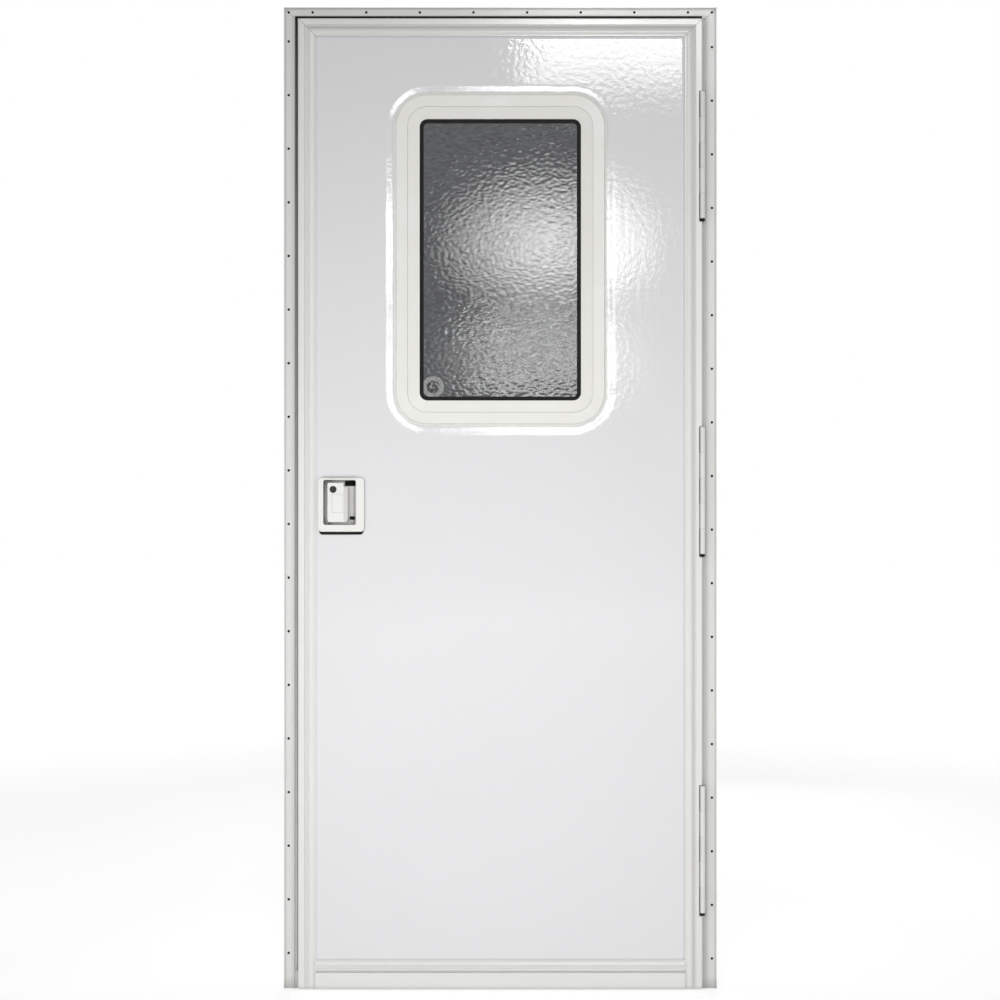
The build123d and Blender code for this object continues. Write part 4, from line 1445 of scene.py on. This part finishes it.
@dataclass(frozen=True)
class Lamp:
    """A soft lamp turned to the door.

    Its radiance is that of its brightest place, its core the share of its width and height that all of
    its panels cover, and its spread the angle of its beam in degrees.
    """

    name: str
    place: Point
    size: Range
    radiance: float
    shape: LampShape
    core: Range = (0.0, 0.0)
    aim_z: float = 1.2
    spread: float = 180.0
    panel_gap: float = 0.02

    def build(self) -> None:
        """Puts the lamp in the scene, a graded or faded one as panels of growing size."""
        _, count, _ = self.shape.value
        for step in range(count):
            part = (step + 1) / count
            wide, tall = (s * (c + (1 - c) * part) for s, c in zip(self.size, self.core, strict=True))
            place = Vector(self.place) + Vector((0.0, self.panel_gap * step, 0.0))
            if self.shape is LampShape.FADED:
                place += Vector(((self.size[0] - wide) / 2, 0.0, (self.size[1] - tall) / 2))
            self._panel(f"{self.name}_{step}", place, wide, tall, self.radiance / count)

    def _panel(self, name: str, place: Vector, wide: float, tall: float, radiance: float) -> None:
        """Adds one panel, out of the camera's sight.

        Args:
            name: the panel's name.
            place: where it stands.
            wide: its width.
            tall: its height.
            radiance: how bright it is.
        """
        outline, _, mirrored = self.shape.value
        light = bpy.data.lights.new(name, "AREA")
        light.shape = outline
        light.size, light.size_y = wide, tall
        light.spread = math.radians(self.spread)
        cover = math.pi / 4 if outline == "ELLIPSE" else 1.0
        light.energy = radiance * math.pi * wide * tall * cover
        lamp = bpy.data.objects.new(name, light)
        lamp.location = place
        aim = Vector((0.0, 0.0, self.aim_z)) - place
        lamp.rotation_euler = aim.to_track_quat("-Z", "Y").to_euler()
        lamp.visible_camera = False
        lamp.visible_transmission = False
        lamp.visible_glossy = mirrored
        bpy.context.scene.collection.objects.link(lamp)


@dataclass(frozen=True)
class Studio:
    """Floor, lamps, surroundings and the camera, square to the door."""

    camera_x: float = -0.0006
    camera_height: float = 0.925
    camera_distance: float = 3.3
    view_width: float = 1.896
    sensor: float = 36.0
    ambient: float = 0.34
    floor_half: float = 20.0
    lamps: tuple[Lamp, ...] = (
        Lamp("pane_glow", (0.42, -12.0, 3.16), (2.00, 1.34), 15.8, LampShape.GRADED),
        Lamp("sill_glow", (0.34, -12.3, 2.20), (2.00, 1.06), 3.4, LampShape.GRADED, (0.5, 0.5)),
        Lamp("sill_bar_low", (0.34, -12.0, 1.92), (1.30, 0.12), 7.0, LampShape.PLAIN),
        Lamp("sill_bar_mid", (0.40, -12.0, 2.16), (1.10, 0.12), 7.0, LampShape.PLAIN),
        Lamp("sill_bar_high", (0.30, -12.0, 2.40), (1.30, 0.12), 7.0, LampShape.PLAIN),
        Lamp("head_glow", (1.03, -12.0, 5.14), (1.84, 1.48), 9.0, LampShape.FADED, (0.87, 0.69)),
        Lamp("cornice_glow", (1.05, -12.5, 5.55), (1.80, 0.72), 20.0, LampShape.PLAIN),
        Lamp("side_strip", (2.30, -12.0, 2.75), (0.50, 3.0), 8.0, LampShape.PLAIN),
        Lamp("front_fill", (-0.40, -2.4, 0.86), (1.6, 0.5), 2.9, LampShape.UNSEEN, aim_z=0.58, spread=86.0),
        Lamp("back_fill", (0.5, 2.7, 1.35), (1.8, 1.8), 1.2, LampShape.UNSEEN, aim_z=0.9, spread=110.0),
        Lamp("left_fill", (-3.2, 0.9, 1.1), (1.0, 1.6), 0.8, LampShape.UNSEEN, aim_z=0.9, spread=70.0),
        Lamp("right_fill", (3.2, 0.9, 1.1), (1.0, 1.6), 0.8, LampShape.UNSEEN, aim_z=0.9, spread=70.0),
    )

    def build(self) -> None:
        """Sets up everything round the door."""
        self._floor()
        self._surroundings()
        for lamp in self.lamps:
            lamp.build()
        self._camera()
        bpy.context.scene.view_settings.view_transform = "Standard"

    def _floor(self) -> None:
        """Lays a wide sheet of paper under the door."""
        half = self.floor_half
        corners = [(-half, -half, 0.0), (half, -half, 0.0), (half, half, 0.0), (-half, half, 0.0)]
        mesh = mesh_of(corners, [[0, 1, 2, 3]])
        mesh.name = "studio_floor"
        mesh.materials.append(FloorPaper().material())
        floor = bpy.data.objects.new("studio_floor", mesh)
        bpy.context.scene.collection.objects.link(floor)

    def _surroundings(self) -> None:
        """Sets up white surroundings to look at, and a softer light from them."""
        world = bpy.data.worlds.new("studio_surroundings")
        world.use_nodes = True
        shader = Shader(world.node_tree)
        white = (1.0, 1.0, 1.0, 1.0)
        light, sight = (
            shader.node("ShaderNodeBackground", values={"Color": white, "Strength": strength})
            for strength in (self.ambient, 1.0)
        )
        both = shader.node("ShaderNodeMixShader", values={0: shader.seen(), 1: light, 2: sight})
        shader.node("ShaderNodeOutputWorld", values={"Surface": both})
        bpy.context.scene.world = world

    def _camera(self) -> None:
        """Sets up a camera square to the door whose frame is as wide as the view."""
        data = bpy.data.cameras.new("front_camera")
        data.sensor_fit = "HORIZONTAL"
        data.sensor_width = self.sensor
        data.lens = self.sensor * self.camera_distance / self.view_width
        data.dof.use_dof = False
        camera = bpy.data.objects.new("front_camera", data)
        camera.location = (self.camera_x, -self.camera_distance, self.camera_height)
        camera.rotation_euler = (math.pi / 2, 0.0, 0.0)
        bpy.context.scene.collection.objects.link(camera)
        bpy.context.scene.camera = camera


def main() -> None:
    """Builds the door's looks and its studio, and reports each piece."""
    logging.basicConfig(level=logging.INFO, format="%(name)s %(message)s")
    for part in (DoorFrame(), Leaf(), Window(), Lock(), Hinges(), Studio()):
        log.info("building %s", type(part).__name__)
        part.build()


if __name__ == "__main__":
    main()
